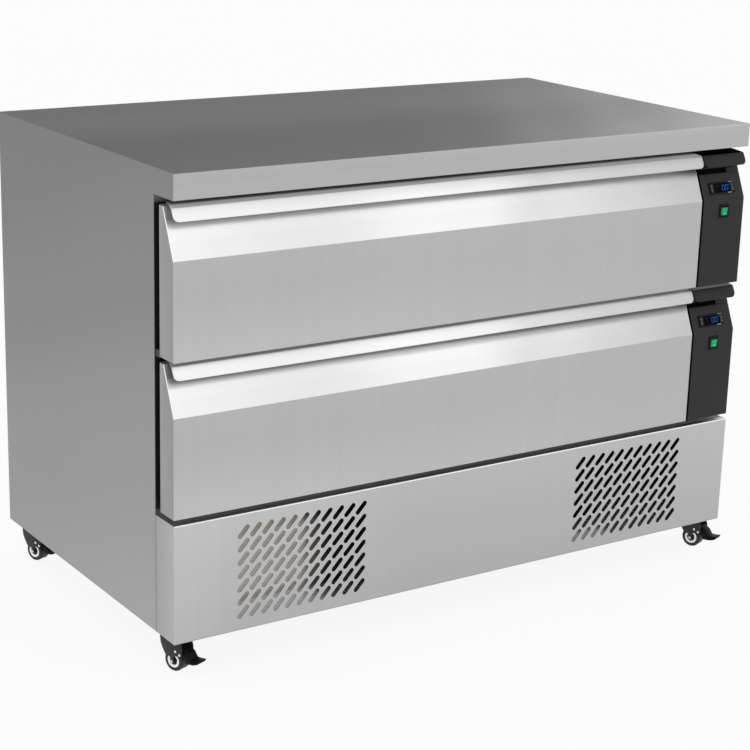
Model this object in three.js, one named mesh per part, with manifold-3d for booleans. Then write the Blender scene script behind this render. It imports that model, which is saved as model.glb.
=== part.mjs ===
// A refrigerated counter with two full-width drawers under a steel worktop, on four lockable casters.
// Millimetres, +Z up. The origin is on the floor under the middle of the cabinet, and the drawers open
// towards -Y. Every drawer has its own cooling unit, thermostat and power switch.

import * as THREE from 'three';
import { mergeVertices } from 'three/addons/utils/BufferGeometryUtils.js';
import Module from 'manifold-3d';

const wasm = await Module();
wasm.setup();
const { Manifold, Mesh: SolidMesh } = wasm;

// Cabinet
const cabinetWidth = 1250;
const cabinetDepth = 700;
const casterHeight = 68;
const worktopThickness = 44;
const plinthHeight = 215;
const skinSheet = 1.2;
const backWall = 50;
const floorInsulation = 39;

// Clearances
const seatGap = 0.3;
const runningGap = 0.6;
const cutOverrun = 2;
const weldOverlap = 0.5;

// Front stack from the worktop down to the plinth
const topReveal = 11;
const upperFrontHeight = 259;
const middleReveal = 6;
const lowerFrontHeight = 267;
const bottomReveal = 10;

// Drawer fronts
const frontDepth = 50;
const slopeSetback = 38;
const slopeHeight = 89;
const lipHeight = 24;
const lipFall = 2.5;
const lipLean = 12;
const hemThickness = 3;
const lipCornerRadius = 10;
const lipCornerSteps = 4;

// Seal between a front and the cabinet
const sealDepth = 18;
const gasketInset = 13;
const gasketWidth = 12;
const sealLandSide = 45;
const sealLandTop = 30;
const sealLandBottom = 26;
const mullionReach = 16;
const mullionHeight = 12;
const mullionRise = 4;
const sillThickness = 12;

// Control strip at the right of each front
const stripWidth = 105;
const stripGap = 4;
const stripWall = 3;
const fingerSlotWidth = 72;
const fingerSlotHeight = 9;
const fingerSlotDepth = 2;
const fingerSlotDrop = 32;

// Thermostat in the slope of a control panel
const thermostatWidth = 63;
const thermostatHeight = 23;
const thermostatDrop = 68;
const thermostatShift = -2;
const thermostatProud = 2.4;
const thermostatRim = 2.5;
const thermostatBodyDepth = 26;
const windowWidth = 41;
const windowHeight = 17;
const windowShift = 0.5;
const windowRecess = 0.8;
const leftKeyWidth = 6;
const rightKeyWidth = 6.5;
const keyHeight = 16;
const keyMargin = 2;
const keyProud = 0.8;
const keyTravel = 0.5;
const keyDepth = 1.4;

// Power switch in the upright face of a control panel
const switchWidth = 24;
const switchHeight = 26;
const switchDrop = 112;
const switchProud = 1.5;
const switchRim = 4.5;
const switchBodyDepth = 15;
const switchFlange = 1.2;
const switchShift = 1;
const rockerDepth = 8;
const rockerProud = 2.2;
const rockerEndGap = 1.2;
const rockerBackTaper = 1.2;
const rockerDip = 1.4;
const rockerTiltDegrees = 7;

// Drawer boxes
const boxRearGap = 20.4;
const boxSheet = 1.2;
const boxHeadroom = 20;
const boxFootroom = 8;
const dividerWidth = 16;
const dividerHeight = 8;
const dividerDrop = 2;
const dividerCount = 2;

// Telescopic slides
const slideSheet = 1.5;
const railHeight = 42;
const railDepth = 11;
const railSetback = 4;
const railRearGap = 18;
const middleDepth = 9.5;
const middleSetback = 8;
const middleShortfall = 80;
const runnerDepth = 10;
const runnerShortfall = 60;

// Plinth and its air slots
const plinthFlange = 12;
const slotLength = 30;
const slotWidth = 8;
const slotSlantDegrees = 47;
const slotEndSteps = 2;
const slotColumns = 11;
const slotRows = 7;
const slotColumnPitch = 24;
const slotRowPitch = 24.7;
const slotGroupOffset = 371;

// Base tray and cable gland
const traySheet = 2;
const glandRadius = 11;
const glandBore = 5;
const glandFlangeRadius = 16;
const glandFlange = 3;
const glandLength = 16;
const glandInset = 120;
const glandRise = 60;
const glandSteps = 16;

// Cooling coils and their fans
const coilSpine = 6;
const coilFin = 3;
const frameDepth = 30;
const frameMargin = 8;
const fanHoleSteps = 20;
const bladeCount = 5;
const bladeThickness = 2;
const bladeChord = 22;
const bladePitchDegrees = 32;
const bladeTipGap = 4;
const rotorHubRadius = 15;
const rotorHubLength = 14;
const motorRadius = 19;
const motorLength = 12;
const spindleRadius = 4;
const strutWidth = 8;
const strutOverlap = 4;
const roundSteps = 12;

const evaporatorWidth = 640;
const evaporatorHeight = 150;
const evaporatorDepth = 44;
const evaporatorFins = 20;
const evaporatorInset = 60;
const evaporatorRise = 15;
const evaporatorFanRadius = 58;

const condenserWidth = 250;
const condenserHeight = 134;
const condenserDepth = 45;
const condenserFins = 25;
const condenserFanRadius = 56;
const leftCondenserSetback = 100;
const leftCondenserInset = 150;
const rightCondenserSetback = 330;
const rightCondenserInset = 170;

// Compressors
const compressorRadius = 64;
const compressorHeight = 150;
const compressorShoulder = 20;
const compressorCrownDrop = 7;
const compressorCrownRadius = 22;
const compressorFootWidth = 170;
const compressorFootDepth = 120;
const compressorFootThickness = 4;
const compressorFootRise = 10;
const compressorFootRadius = 12;
const compressorSteps = 20;
const terminalBoxWidth = 36;
const terminalBoxHeight = 50;
const terminalBoxDepth = 26;
const leftCompressorSetback = 330;
const rightCompressorSetback = 190;

// Casters
const casterInset = 26;
const casterFrontSetback = 52;
const casterBackSetback = 60;
const casterTurnDegrees = 21;
const casterTrail = 9;
const wheelRadius = 20;
const wheelWidth = 24;
const wheelRound = 4;
const wheelSteps = 24;
const hubRadius = 13;
const hubRecess = 1.5;
const axleRadius = 3;
const forkSheet = 2.5;
const forkSideGap = 1.2;
const forkCrownGap = 18;
const forkCrownThickness = 6;
const forkHeadRadius = 12;
const forkHeadSteps = 20;
const forkTongue = 3.5;
const forkSkirtRise = 8;
const forkSkirtReach = 13.5;
const forkWaistRise = 20;
const forkWaistReach = 21;
const forkShoulderRise = 30;
const forkShoulderReach = 25.5;
const forkRearReach = 27;
const stemRadius = 5;
const stemLength = 14;
const pedalPinRadius = 2;
const pedalPinReach = 17;
const pedalPinRise = 20;
const pedalBossRadius = 6;
const pedalCrestReach = 14;
const pedalCrestRise = 30;
const pedalBrowReach = 21;
const pedalBrowRise = 28;
const pedalShoulderReach = 32;
const pedalShoulderRise = 20;
const pedalNeckReach = 38;
const pedalNeckRise = 10.5;
const pedalTipReach = 57;
const pedalTipRise = 12;
const pedalTipSetback = 1.5;
const pedalToeReach = 52;
const pedalToeRise = 5;
const pedalHeelReach = 38;
const pedalHeelRise = 1;
const pedalSoleReach = 27;
const pedalSoleRise = 1.5;
const pedalPadReach = 24;
const pedalPadRise = 8;
const pedalNoseReach = 18;
const pedalNoseRise = 12.5;
const pedalSideGap = 3;

// Planes of the cabinet
const left = -cabinetWidth / 2;
const right = cabinetWidth / 2;
const front = -cabinetDepth / 2;
const back = cabinetDepth / 2;
const bodyBottom = casterHeight;
const plinthTop = bodyBottom + plinthHeight;
const lowerFrontBottom = plinthTop + bottomReveal;
const lowerFrontTop = lowerFrontBottom + lowerFrontHeight;
const upperFrontBottom = lowerFrontTop + middleReveal;
const upperFrontTop = upperFrontBottom + upperFrontHeight;
const worktopBottom = upperFrontTop + topReveal;
const worktopTop = worktopBottom + worktopThickness;
const frontBack = front + frontDepth;
const bodyFace = frontBack + sealDepth;
const stripLeft = right - stripWidth;
const frontRight = stripLeft - stripGap;
const innerLeft = left + skinSheet + seatGap;
const innerRight = right - skinSheet - seatGap;
const innerBack = back - skinSheet - seatGap;
const pocketLeft = left + sealLandSide;
const pocketRight = frontRight - sealLandSide;
const pocketBack = back - backWall;
const slopeAngle = Math.atan2(slopeSetback, slopeHeight);

const levels = [
  { name: 'upper', top: upperFrontTop, bottom: upperFrontBottom },
  { name: 'lower', top: lowerFrontTop, bottom: lowerFrontBottom },
];
for (const level of levels) {
  level.pocketTop = level.top - sealLandTop;
  level.pocketBottom = level.bottom + sealLandBottom;
  level.boxTop = level.pocketTop - boxHeadroom;
  level.boxBottom = level.pocketBottom + boxFootroom;
  level.slideHeight = (level.boxTop + level.boxBottom) / 2;
}

// Materials
const steel = new THREE.MeshStandardMaterial({ color: 0xc4c6c8, roughness: 0.35, metalness: 0.9 });
const slideSteel = new THREE.MeshStandardMaterial({ color: 0xa9adb0, roughness: 0.4, metalness: 0.9 });
const lining = new THREE.MeshStandardMaterial({ color: 0xb9bcbe, roughness: 0.5, metalness: 0.5 });
const core = new THREE.MeshStandardMaterial({ color: 0xdcdddb, roughness: 0.6, metalness: 0 });
const seal = new THREE.MeshStandardMaterial({ color: 0x3a3c3e, roughness: 0.8, metalness: 0 });
const panelPlastic = new THREE.MeshStandardMaterial({ color: 0x303132, roughness: 0.5, metalness: 0 });
const controlPlastic = new THREE.MeshStandardMaterial({ color: 0x151617, roughness: 0.3, metalness: 0 });
const keyPlastic = new THREE.MeshStandardMaterial({ color: 0x6c7471, roughness: 0.5, metalness: 0 });
const greenLens = new THREE.MeshStandardMaterial({ color: 0x1fb866, roughness: 0.3, metalness: 0 });
const casterPlastic = new THREE.MeshStandardMaterial({ color: 0x1c1d1f, roughness: 0.55, metalness: 0 });
const tyreRubber = new THREE.MeshStandardMaterial({ color: 0x242426, roughness: 0.7, metalness: 0 });
const blackMetal = new THREE.MeshStandardMaterial({ color: 0x18191a, roughness: 0.5, metalness: 0.3 });
const coilMetal = new THREE.MeshStandardMaterial({ color: 0xb09c8c, roughness: 0.5, metalness: 0.7 });
const coldCoilMetal = new THREE.MeshStandardMaterial({ color: 0xb8babc, roughness: 0.5, metalness: 0.7 });
const fanPlastic = new THREE.MeshStandardMaterial({ color: 0x222325, roughness: 0.5, metalness: 0 });

const counter = new THREE.Group();

function addPiece(name, geometry, material, parent = counter) {
  const mesh = new THREE.Mesh(geometry, material);
  mesh.name = name;
  parent.add(mesh);
  return mesh;
}

// Solids and geometry
function toSolid(geometry) {
  const bare = geometry.index ? geometry.toNonIndexed() : geometry.clone();
  bare.deleteAttribute('normal');
  bare.deleteAttribute('uv');
  const welded = mergeVertices(bare);
  const vertProperties = new Float32Array(welded.attributes.position.array);
  const triVerts = new Uint32Array(welded.index.array);
  return new Manifold(new SolidMesh({ numProp: 3, vertProperties, triVerts }));
}

function toGeometry(solid) {
  const { vertProperties, triVerts } = solid.getMesh();
  const geometry = new THREE.BufferGeometry();
  geometry.setAttribute('position', new THREE.BufferAttribute(new Float32Array(vertProperties), 3));
  geometry.setIndex(new THREE.BufferAttribute(new Uint32Array(triVerts), 1));
  geometry.computeVertexNormals();
  return geometry;
}

function join(...geometries) {
  let solid = toSolid(geometries[0]);
  for (const other of geometries.slice(1)) solid = solid.add(toSolid(other));
  return toGeometry(solid);
}

function cut(geometry, ...tools) {
  let solid = toSolid(geometry);
  for (const tool of tools) solid = solid.subtract(toSolid(tool));
  return toGeometry(solid);
}

function box([x0, x1], [y0, y1], [z0, z1]) {
  const geometry = new THREE.BoxGeometry(x1 - x0, y1 - y0, z1 - z0);
  return geometry.translate((x0 + x1) / 2, (y0 + y1) / 2, (z0 + z1) / 2);
}

function extrude(outline, length, holes = []) {
  const shape = new THREE.Shape(outline.map(([u, v]) => new THREE.Vector2(u, v)));
  for (const hole of holes) shape.holes.push(new THREE.Path(hole.map(([u, v]) => new THREE.Vector2(u, v))));
  return new THREE.ExtrudeGeometry(shape, { depth: length, bevelEnabled: false });
}

// An outline of (y, z) points drawn out along X
function prismAlongX(outline, [x0, x1], holes = []) {
  const turn = new THREE.Matrix4().makeBasis(
    new THREE.Vector3(0, 1, 0), new THREE.Vector3(0, 0, 1), new THREE.Vector3(1, 0, 0));
  return extrude(outline, x1 - x0, holes).applyMatrix4(turn).translate(x0, 0, 0);
}

// An outline of (x, z) points drawn out along Y
function prismAlongY(outline, [y0, y1], holes = []) {
  const turn = new THREE.Matrix4().makeBasis(
    new THREE.Vector3(1, 0, 0), new THREE.Vector3(0, 0, 1), new THREE.Vector3(0, -1, 0));
  return extrude(outline, y1 - y0, holes).applyMatrix4(turn).translate(0, y1, 0);
}

// An outline of (x, y) points drawn out along Z
function prismAlongZ(outline, [z0, z1], holes = []) {
  return extrude(outline, z1 - z0, holes).translate(0, 0, z0);
}

function rectangle([u0, u1], [v0, v1]) {
  return [[u0, v0], [u1, v0], [u1, v1], [u0, v1]];
}

function arc(centreU, centreV, radius, startAngle, endAngle, steps) {
  const points = [];
  for (let i = 0; i <= steps; i += 1) {
    const angle = startAngle + ((endAngle - startAngle) * i) / steps;
    points.push([centreU + radius * Math.cos(angle), centreV + radius * Math.sin(angle)]);
  }
  return points;
}

function circle(centreU, centreV, radius, steps) {
  return arc(centreU, centreV, radius, 0, 2 * Math.PI, steps).slice(0, -1);
}

// Moves every side of a convex anticlockwise outline inwards by one distance
function inset(outline, distance) {
  const count = outline.length;
  const sides = outline.map(([u, v], i) => {
    const [nextU, nextV] = outline[(i + 1) % count];
    const length = Math.hypot(nextU - u, nextV - v);
    const direction = [(nextU - u) / length, (nextV - v) / length];
    return { u: u - direction[1] * distance, v: v + direction[0] * distance, direction };
  });
  return sides.map((side, i) => {
    const previous = sides[(i + count - 1) % count];
    const [a, b] = previous.direction;
    const [c, d] = side.direction;
    const along = ((side.u - previous.u) * d - (side.v - previous.v) * c) / (a * d - b * c);
    return [previous.u + a * along, previous.v + b * along];
  });
}

// A round piece about the Y axis from (radius, y) points, which are given in order of rising y
function turnedAlongY(profile, steps) {
  return new THREE.LatheGeometry(profile.map(([r, y]) => new THREE.Vector2(r, y)), steps);
}

function turnedAlongZ(profile, steps) {
  return turnedAlongY(profile, steps).rotateX(Math.PI / 2);
}

function turnedAlongX(profile, steps) {
  return turnedAlongY(profile, steps).rotateZ(-Math.PI / 2);
}

function rod(radius, [start, end]) {
  return [[0, start], [radius, start], [radius, end], [0, end]];
}

// Worktop: a folded steel tray, open below
function worktop() {
  const outer = box([left, right], [front, back], [worktopBottom, worktopTop]);
  const hollow = box(
    [left + skinSheet, right - skinSheet],
    [front + skinSheet, back - skinSheet],
    [worktopBottom - cutOverrun, worktopTop - skinSheet]);
  return cut(outer, hollow);
}

function sidePanel(outerX, inwards) {
  const spanX = inwards > 0 ? [outerX, outerX + skinSheet] : [outerX - skinSheet, outerX];
  return box(spanX, [bodyFace, back], [bodyBottom, worktopBottom - seatGap]);
}

function backPanel() {
  const gland = circle(glandX(), glandZ(), glandRadius + seatGap, glandSteps);
  const outline = rectangle([innerLeft, innerRight], [bodyBottom, worktopBottom - seatGap]);
  return prismAlongY(outline, [back - skinSheet, back], [gland]);
}

// Foamed body: insulation with its steel lining, two pockets for the drawers, a core under the worktop,
// a rail between the fronts and a sill behind the plinth
function insulatedBody() {
  const underside = levels[1].pocketBottom - floorInsulation;
  const coreTop = worktopTop - skinSheet - seatGap;
  const faceOutline = [
    [innerBack, underside],
    [innerBack, coreTop],
    [front + skinSheet + seatGap, coreTop],
    [front + skinSheet + seatGap, worktopBottom],
    [bodyFace, worktopBottom],
    [bodyFace, lowerFrontTop + mullionRise + mullionHeight],
    [bodyFace - mullionReach, lowerFrontTop + mullionRise + mullionHeight],
    [bodyFace - mullionReach, lowerFrontTop + mullionRise],
    [bodyFace, lowerFrontTop + mullionRise],
    [bodyFace, plinthTop],
    [front + plinthFlange + seatGap, plinthTop],
    [front + plinthFlange + seatGap, plinthTop - sillThickness],
    [bodyFace, plinthTop - sillThickness],
    [bodyFace, underside],
  ];
  const block = prismAlongX(faceOutline, [innerLeft, innerRight]);
  const pockets = levels.map((level) => box(
    [pocketLeft, pocketRight],
    [bodyFace - cutOverrun, pocketBack],
    [level.pocketBottom, level.pocketTop]));
  const stripClearance = box(
    [frontRight + seatGap, right],
    [bodyFace - mullionReach - cutOverrun, bodyFace],
    [lowerFrontTop, upperFrontBottom + mullionHeight]);
  return cut(block, ...pockets, stripClearance);
}

// Plinth: a slotted steel sheet with a fold along its top and bottom
function slotOutline(centreX, centreZ) {
  const slant = THREE.MathUtils.degToRad(slotSlantDegrees);
  const half = (slotLength - slotWidth) / 2;
  const reachX = half * Math.cos(slant);
  const reachZ = half * Math.sin(slant);
  const quarter = Math.PI / 2;
  const backSlant = slant + Math.PI;
  return [
    ...arc(centreX + reachX, centreZ + reachZ, slotWidth / 2, slant - quarter, slant + quarter, slotEndSteps),
    ...arc(centreX - reachX, centreZ - reachZ, slotWidth / 2, backSlant - quarter, backSlant + quarter,
      slotEndSteps),
  ];
}

function plinthPanel() {
  const slots = [];
  const middleZ = (bodyBottom + plinthTop) / 2;
  for (const groupX of [-slotGroupOffset, slotGroupOffset]) {
    for (let column = 0; column < slotColumns; column += 1) {
      for (let row = 0; row < slotRows; row += 1) {
        slots.push(slotOutline(
          groupX + (column - (slotColumns - 1) / 2) * slotColumnPitch,
          middleZ + (row - (slotRows - 1) / 2) * slotRowPitch));
      }
    }
  }
  const outline = rectangle([left, right], [bodyBottom, plinthTop]);
  const sheet = prismAlongY(outline, [front, front + skinSheet], slots);
  const foldX = [left + skinSheet + seatGap, right - skinSheet - seatGap];
  const foldY = [front, front + plinthFlange];
  const topFold = box(foldX, foldY, [plinthTop - skinSheet, plinthTop]);
  const bottomFold = box(foldX, foldY, [bodyBottom, bodyBottom + skinSheet]);
  return join(sheet, topFold, bottomFold);
}

function plinthCheek(outerX, inwards) {
  const spanX = inwards > 0 ? [outerX, outerX + skinSheet] : [outerX - skinSheet, outerX];
  return box(
    spanX,
    [front + skinSheet + seatGap, bodyFace - seatGap],
    [bodyBottom, plinthTop]);
}

// Casters are placed first, because the base tray has a hole for each stem
const casterPlaces = [
  { name: 'front_left', x: left + casterInset, y: front + casterFrontSetback },
  { name: 'front_right', x: right - casterInset, y: front + casterFrontSetback },
  { name: 'back_left', x: left + casterInset, y: back - casterBackSetback },
  { name: 'back_right', x: right - casterInset, y: back - casterBackSetback },
];

function baseTray() {
  const outline = rectangle([innerLeft, innerRight], [front + plinthFlange + seatGap, innerBack]);
  const stemHoles = casterPlaces.map(({ x, y }) => circle(x, y, stemRadius + seatGap, roundSteps));
  return prismAlongZ(outline, [bodyBottom, bodyBottom + traySheet], stemHoles);
}

// Cable gland, flush with the outside of the back panel
function glandX() {
  return right - glandInset;
}

function glandZ() {
  return bodyBottom + glandRise;
}

function cableGland() {
  const innerFace = back - skinSheet - seatGap;
  const ring = turnedAlongY([
    [glandBore, innerFace - glandLength],
    [glandRadius, innerFace - glandLength],
    [glandRadius, innerFace - glandFlange],
    [glandFlangeRadius, innerFace - glandFlange],
    [glandFlangeRadius, innerFace],
    [glandRadius, innerFace],
    [glandRadius, back],
    [glandBore, back],
    [glandBore, innerFace - glandLength],
  ], glandSteps);
  return ring.translate(glandX(), 0, glandZ());
}

// Outline of a front in (y, z), seen from its end: a slope that leans back above an upright face
function frontOutline(level, depth = frontDepth) {
  return [
    [front + depth, level.top],
    [front + slopeSetback, level.top],
    [front, level.top - slopeHeight],
    [front, level.bottom],
    [front + depth, level.bottom],
  ];
}

// Handle lip in (y, z): a flange that falls a little as it reaches forwards over the slope, and a short
// lip that hangs from it
function lipOutline(level, depth = frontDepth) {
  const foldZ = level.top - lipFall;
  return [
    [front + depth, level.top],
    [front + slopeSetback, level.top],
    [front + lipLean, foldZ],
    [front, level.top - lipHeight],
    [front + hemThickness, level.top - lipHeight],
    [front + lipLean + hemThickness, foldZ - hemThickness],
    [front + slopeSetback, level.top - hemThickness],
    [front + depth, level.top - hemThickness],
  ];
}

// What is cut away to round one lower corner of a lip; side is -1 at its left end and 1 at its right end
function lipCornerCut(level, endX, side) {
  const cornerZ = level.top - lipHeight;
  const centreX = endX - side * lipCornerRadius;
  const centreZ = cornerZ + lipCornerRadius;
  const downwards = -Math.PI / 2;
  const outwards = side > 0 ? 0 : -Math.PI;
  const round = arc(centreX, centreZ, lipCornerRadius, outwards, downwards, lipCornerSteps);
  const outline = [
    ...round,
    [centreX, cornerZ - cutOverrun],
    [endX + side * cutOverrun, cornerZ - cutOverrun],
    [endX + side * cutOverrun, centreZ],
  ];
  return prismAlongY(outline, [front - cutOverrun, front + lipLean + hemThickness]);
}

function lip(level, spanX, depth) {
  return cut(
    prismAlongX(lipOutline(level, depth), spanX),
    lipCornerCut(level, spanX[0], -1),
    lipCornerCut(level, spanX[1], 1));
}

// Folded steel skin of a drawer front, open at the back, with the handle lip along its top edge
function drawerFront(level) {
  const outline = frontOutline(level);
  const hollow = inset(outline, skinSheet);
  hollow[0][0] = frontBack + cutOverrun;
  hollow[4][0] = frontBack + cutOverrun;
  const skin = cut(
    prismAlongX(outline, [left, frontRight]),
    prismAlongX(hollow, [left + skinSheet, frontRight - skinSheet]));
  return join(skin, lip(level, [left, frontRight], frontDepth));
}

// Insulated inner panel that fills the skin and carries the gasket and the box
function innerPanel(level) {
  const outline = inset(frontOutline(level), skinSheet + seatGap);
  outline[0][0] = frontBack;
  outline[4][0] = frontBack;
  const block = prismAlongX(outline, [left + skinSheet + seatGap, frontRight - skinSheet - seatGap]);
  const hemRoom = box(
    [left, frontRight],
    [front, frontBack + cutOverrun],
    [level.top - hemThickness - seatGap, level.top]);
  return cut(block, hemRoom);
}

function gasket(level) {
  const outer = rectangle(
    [left + gasketInset, frontRight - gasketInset],
    [level.bottom + gasketInset, level.top - gasketInset]);
  const hole = rectangle(
    [left + gasketInset + gasketWidth, frontRight - gasketInset - gasketWidth],
    [level.bottom + gasketInset + gasketWidth, level.top - gasketInset - gasketWidth]);
  return prismAlongY(outer, [frontBack + seatGap, bodyFace - seatGap], [hole]);
}

// Distances of the slide members from the wall of the pocket
const railY = bodyFace + railSetback;
const railLength = pocketBack - railRearGap - railY;
const middleWall = seatGap + slideSheet + runningGap;
const runnerWall = middleWall + slideSheet + runningGap;
const boxWall = runnerWall + runnerDepth;
const middleHeight = railHeight - 2 * (slideSheet + runningGap);
const runnerHeight = middleHeight - 2 * (slideSheet + runningGap);
const boxLeft = pocketLeft + boxWall;
const boxRight = pocketRight - boxWall;
const boxFront = frontBack + seatGap;
const boxBack = pocketBack - seatGap - evaporatorDepth - boxRearGap;

// Steel drawer box, open above, with a runner on each side and bars that part the pans
function drawerBox(level) {
  const spanY = [boxFront, boxBack];
  const shell = cut(
    box([boxLeft, boxRight], spanY, [level.boxBottom, level.boxTop]),
    box(
      [boxLeft + boxSheet, boxRight - boxSheet],
      [spanY[0] + boxSheet, spanY[1] - boxSheet],
      [level.boxBottom + boxSheet, level.boxTop + cutOverrun]));
  const bars = [];
  const clearWidth = boxRight - boxLeft - 2 * boxSheet;
  for (let i = 1; i <= dividerCount; i += 1) {
    const centreX = boxLeft + boxSheet + (clearWidth * i) / (dividerCount + 1);
    bars.push(box(
      [centreX - dividerWidth / 2, centreX + dividerWidth / 2],
      [spanY[0] + boxSheet - weldOverlap, spanY[1] - boxSheet + weldOverlap],
      [level.boxTop - dividerDrop - dividerHeight, level.boxTop - dividerDrop]));
  }
  const runnerZ = [level.slideHeight - runnerHeight / 2, level.slideHeight + runnerHeight / 2];
  const runnerY = [railY, railY + railLength - runnerShortfall];
  const runners = [
    box([boxLeft - runnerDepth, boxLeft + weldOverlap], runnerY, runnerZ),
    box([boxRight - weldOverlap, boxRight + runnerDepth], runnerY, runnerZ),
  ];
  return join(shell, ...bars, ...runners);
}

// A channel that opens inwards from the pocket wall; side is -1 at the left and 1 at the right
function slideChannel(level, side, wallGap, depth, height, startY, length) {
  const wallX = side < 0 ? pocketLeft : pocketRight;
  const webX = wallX - side * wallGap;
  const inX = webX - side * slideSheet;
  const openX = webX - side * depth;
  const low = level.slideHeight - height / 2;
  const high = level.slideHeight + height / 2;
  return prismAlongY([
    [webX, low], [openX, low], [openX, low + slideSheet], [inX, low + slideSheet],
    [inX, high - slideSheet], [openX, high - slideSheet], [openX, high], [webX, high],
  ], [startY, startY + length]);
}

// Control panel: a moulded shell with the same outline and lip as the fronts, open at the back
function controlPanel(level) {
  const depth = frontDepth + sealDepth - seatGap;
  const outline = frontOutline(level, depth);
  const hollow = inset(outline, stripWall);
  hollow[0][0] = front + depth + cutOverrun;
  hollow[4][0] = front + depth + cutOverrun;
  const shell = join(
    cut(
      prismAlongX(outline, [stripLeft, right]),
      prismAlongX(hollow, [stripLeft + stripWall, right - stripWall])),
    lip(level, [stripLeft, right], depth));
  const thermostatHole = box(
    [-(thermostatWidth / 2 - thermostatRim), thermostatWidth / 2 - thermostatRim],
    [-cutOverrun, stripWall + cutOverrun],
    [-(thermostatHeight / 2 - thermostatRim), thermostatHeight / 2 - thermostatRim]);
  const { x, y, z } = thermostatCentre(level);
  thermostatHole.rotateX(-slopeAngle).translate(x, y, z);
  const switchPlace = switchCentre(level);
  const switchHole = box(
    [switchPlace.x - switchWidth / 2 + switchFlange, switchPlace.x + switchWidth / 2 - switchFlange],
    [front - cutOverrun, front + stripWall + cutOverrun],
    [switchPlace.z - switchHeight / 2 + switchFlange, switchPlace.z + switchHeight / 2 - switchFlange]);
  const slotPlace = slopePoint(level, fingerSlotDrop + fingerSlotHeight / 2);
  const fingerSlot = box(
    [stripLeft - cutOverrun, stripLeft + fingerSlotWidth],
    [-cutOverrun, fingerSlotDepth],
    [-fingerSlotHeight / 2, fingerSlotHeight / 2]);
  fingerSlot.rotateX(-slopeAngle).translate(0, slotPlace.y, slotPlace.z);
  return cut(shell, thermostatHole, switchHole, fingerSlot);
}

// A point on the slope of a control panel, by its drop below the top of the panel
function slopePoint(level, drop) {
  return {
    x: (stripLeft + right) / 2,
    y: front + slopeSetback * (1 - drop / slopeHeight),
    z: level.top - drop,
  };
}

function thermostatCentre(level) {
  const place = slopePoint(level, thermostatDrop);
  return { ...place, x: place.x + thermostatShift };
}

function switchCentre(level) {
  return { x: (stripLeft + right) / 2 + switchShift, z: level.top - switchDrop };
}

// Thermostat in its own frame: its face looks along -Y and the slope is the plane y = 0
const thermostatFace = -seatGap - thermostatProud;
const windowSpanX = [windowShift - windowWidth / 2, windowShift + windowWidth / 2];
const leftKeyX = [-thermostatWidth / 2 + keyMargin, -thermostatWidth / 2 + keyMargin + leftKeyWidth];
const rightKeyX = [thermostatWidth / 2 - keyMargin - rightKeyWidth, thermostatWidth / 2 - keyMargin];

function thermostatHousing() {
  const halfWidth = thermostatWidth / 2;
  const halfHeight = thermostatHeight / 2;
  const bodyHalfWidth = halfWidth - thermostatRim - seatGap;
  const bodyHalfHeight = halfHeight - thermostatRim - seatGap;
  const housing = join(
    box([-halfWidth, halfWidth], [thermostatFace, -seatGap], [-halfHeight, halfHeight]),
    box([-bodyHalfWidth, bodyHalfWidth], [-seatGap - weldOverlap, thermostatBodyDepth],
      [-bodyHalfHeight, bodyHalfHeight]));
  const keyFloor = thermostatFace - keyProud + keyDepth + keyTravel + seatGap;
  const keyHole = ([x0, x1]) => box(
    [x0 - seatGap, x1 + seatGap],
    [thermostatFace - cutOverrun, keyFloor],
    [-keyHeight / 2 - seatGap, keyHeight / 2 + seatGap]);
  const windowHole = box(
    windowSpanX,
    [thermostatFace - cutOverrun, thermostatFace + windowRecess],
    [-windowHeight / 2, windowHeight / 2]);
  return cut(housing, windowHole, keyHole(leftKeyX), keyHole(rightKeyX));
}

function thermostatKeys(spanX) {
  const face = thermostatFace - keyProud;
  return box(spanX, [face, face + keyDepth], [-keyHeight / 2, keyHeight / 2]);
}

// Switch in its own frame: its face looks along -Y and the panel is the plane y = 0
function switchBody() {
  const halfWidth = switchWidth / 2;
  const halfHeight = switchHeight / 2;
  const bodyHalfWidth = halfWidth - switchFlange - seatGap;
  const bodyHalfHeight = halfHeight - switchFlange - seatGap;
  const housing = join(
    box([-halfWidth, halfWidth], [-seatGap - switchProud, -seatGap], [-halfHeight, halfHeight]),
    box([-bodyHalfWidth, bodyHalfWidth], [-seatGap - weldOverlap, switchBodyDepth],
      [-bodyHalfHeight, bodyHalfHeight]));
  const well = box(
    [-halfWidth + switchRim, halfWidth - switchRim],
    [-seatGap - switchProud - cutOverrun, rockerDepth + runningGap],
    [-halfHeight + switchRim, halfHeight - switchRim]);
  return cut(housing, well);
}

// Rocker with a shallow dip across its face, tilted to its ON side about the middle of the panel plane
function powerRocker() {
  const halfWidth = switchWidth / 2 - switchRim - runningGap / 2;
  const halfHeight = switchHeight / 2 - switchRim - rockerEndGap;
  const face = -seatGap - switchProud - rockerProud;
  const outline = [
    [face, halfHeight],
    [face + rockerDip, 0],
    [face, -halfHeight],
    [rockerDepth / 2, -halfHeight + rockerBackTaper],
    [rockerDepth, 0],
    [rockerDepth / 2, halfHeight - rockerBackTaper],
  ];
  const rocker = prismAlongX(outline, [-halfWidth, halfWidth]);
  return rocker.rotateX(THREE.MathUtils.degToRad(rockerTiltDegrees));
}

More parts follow.
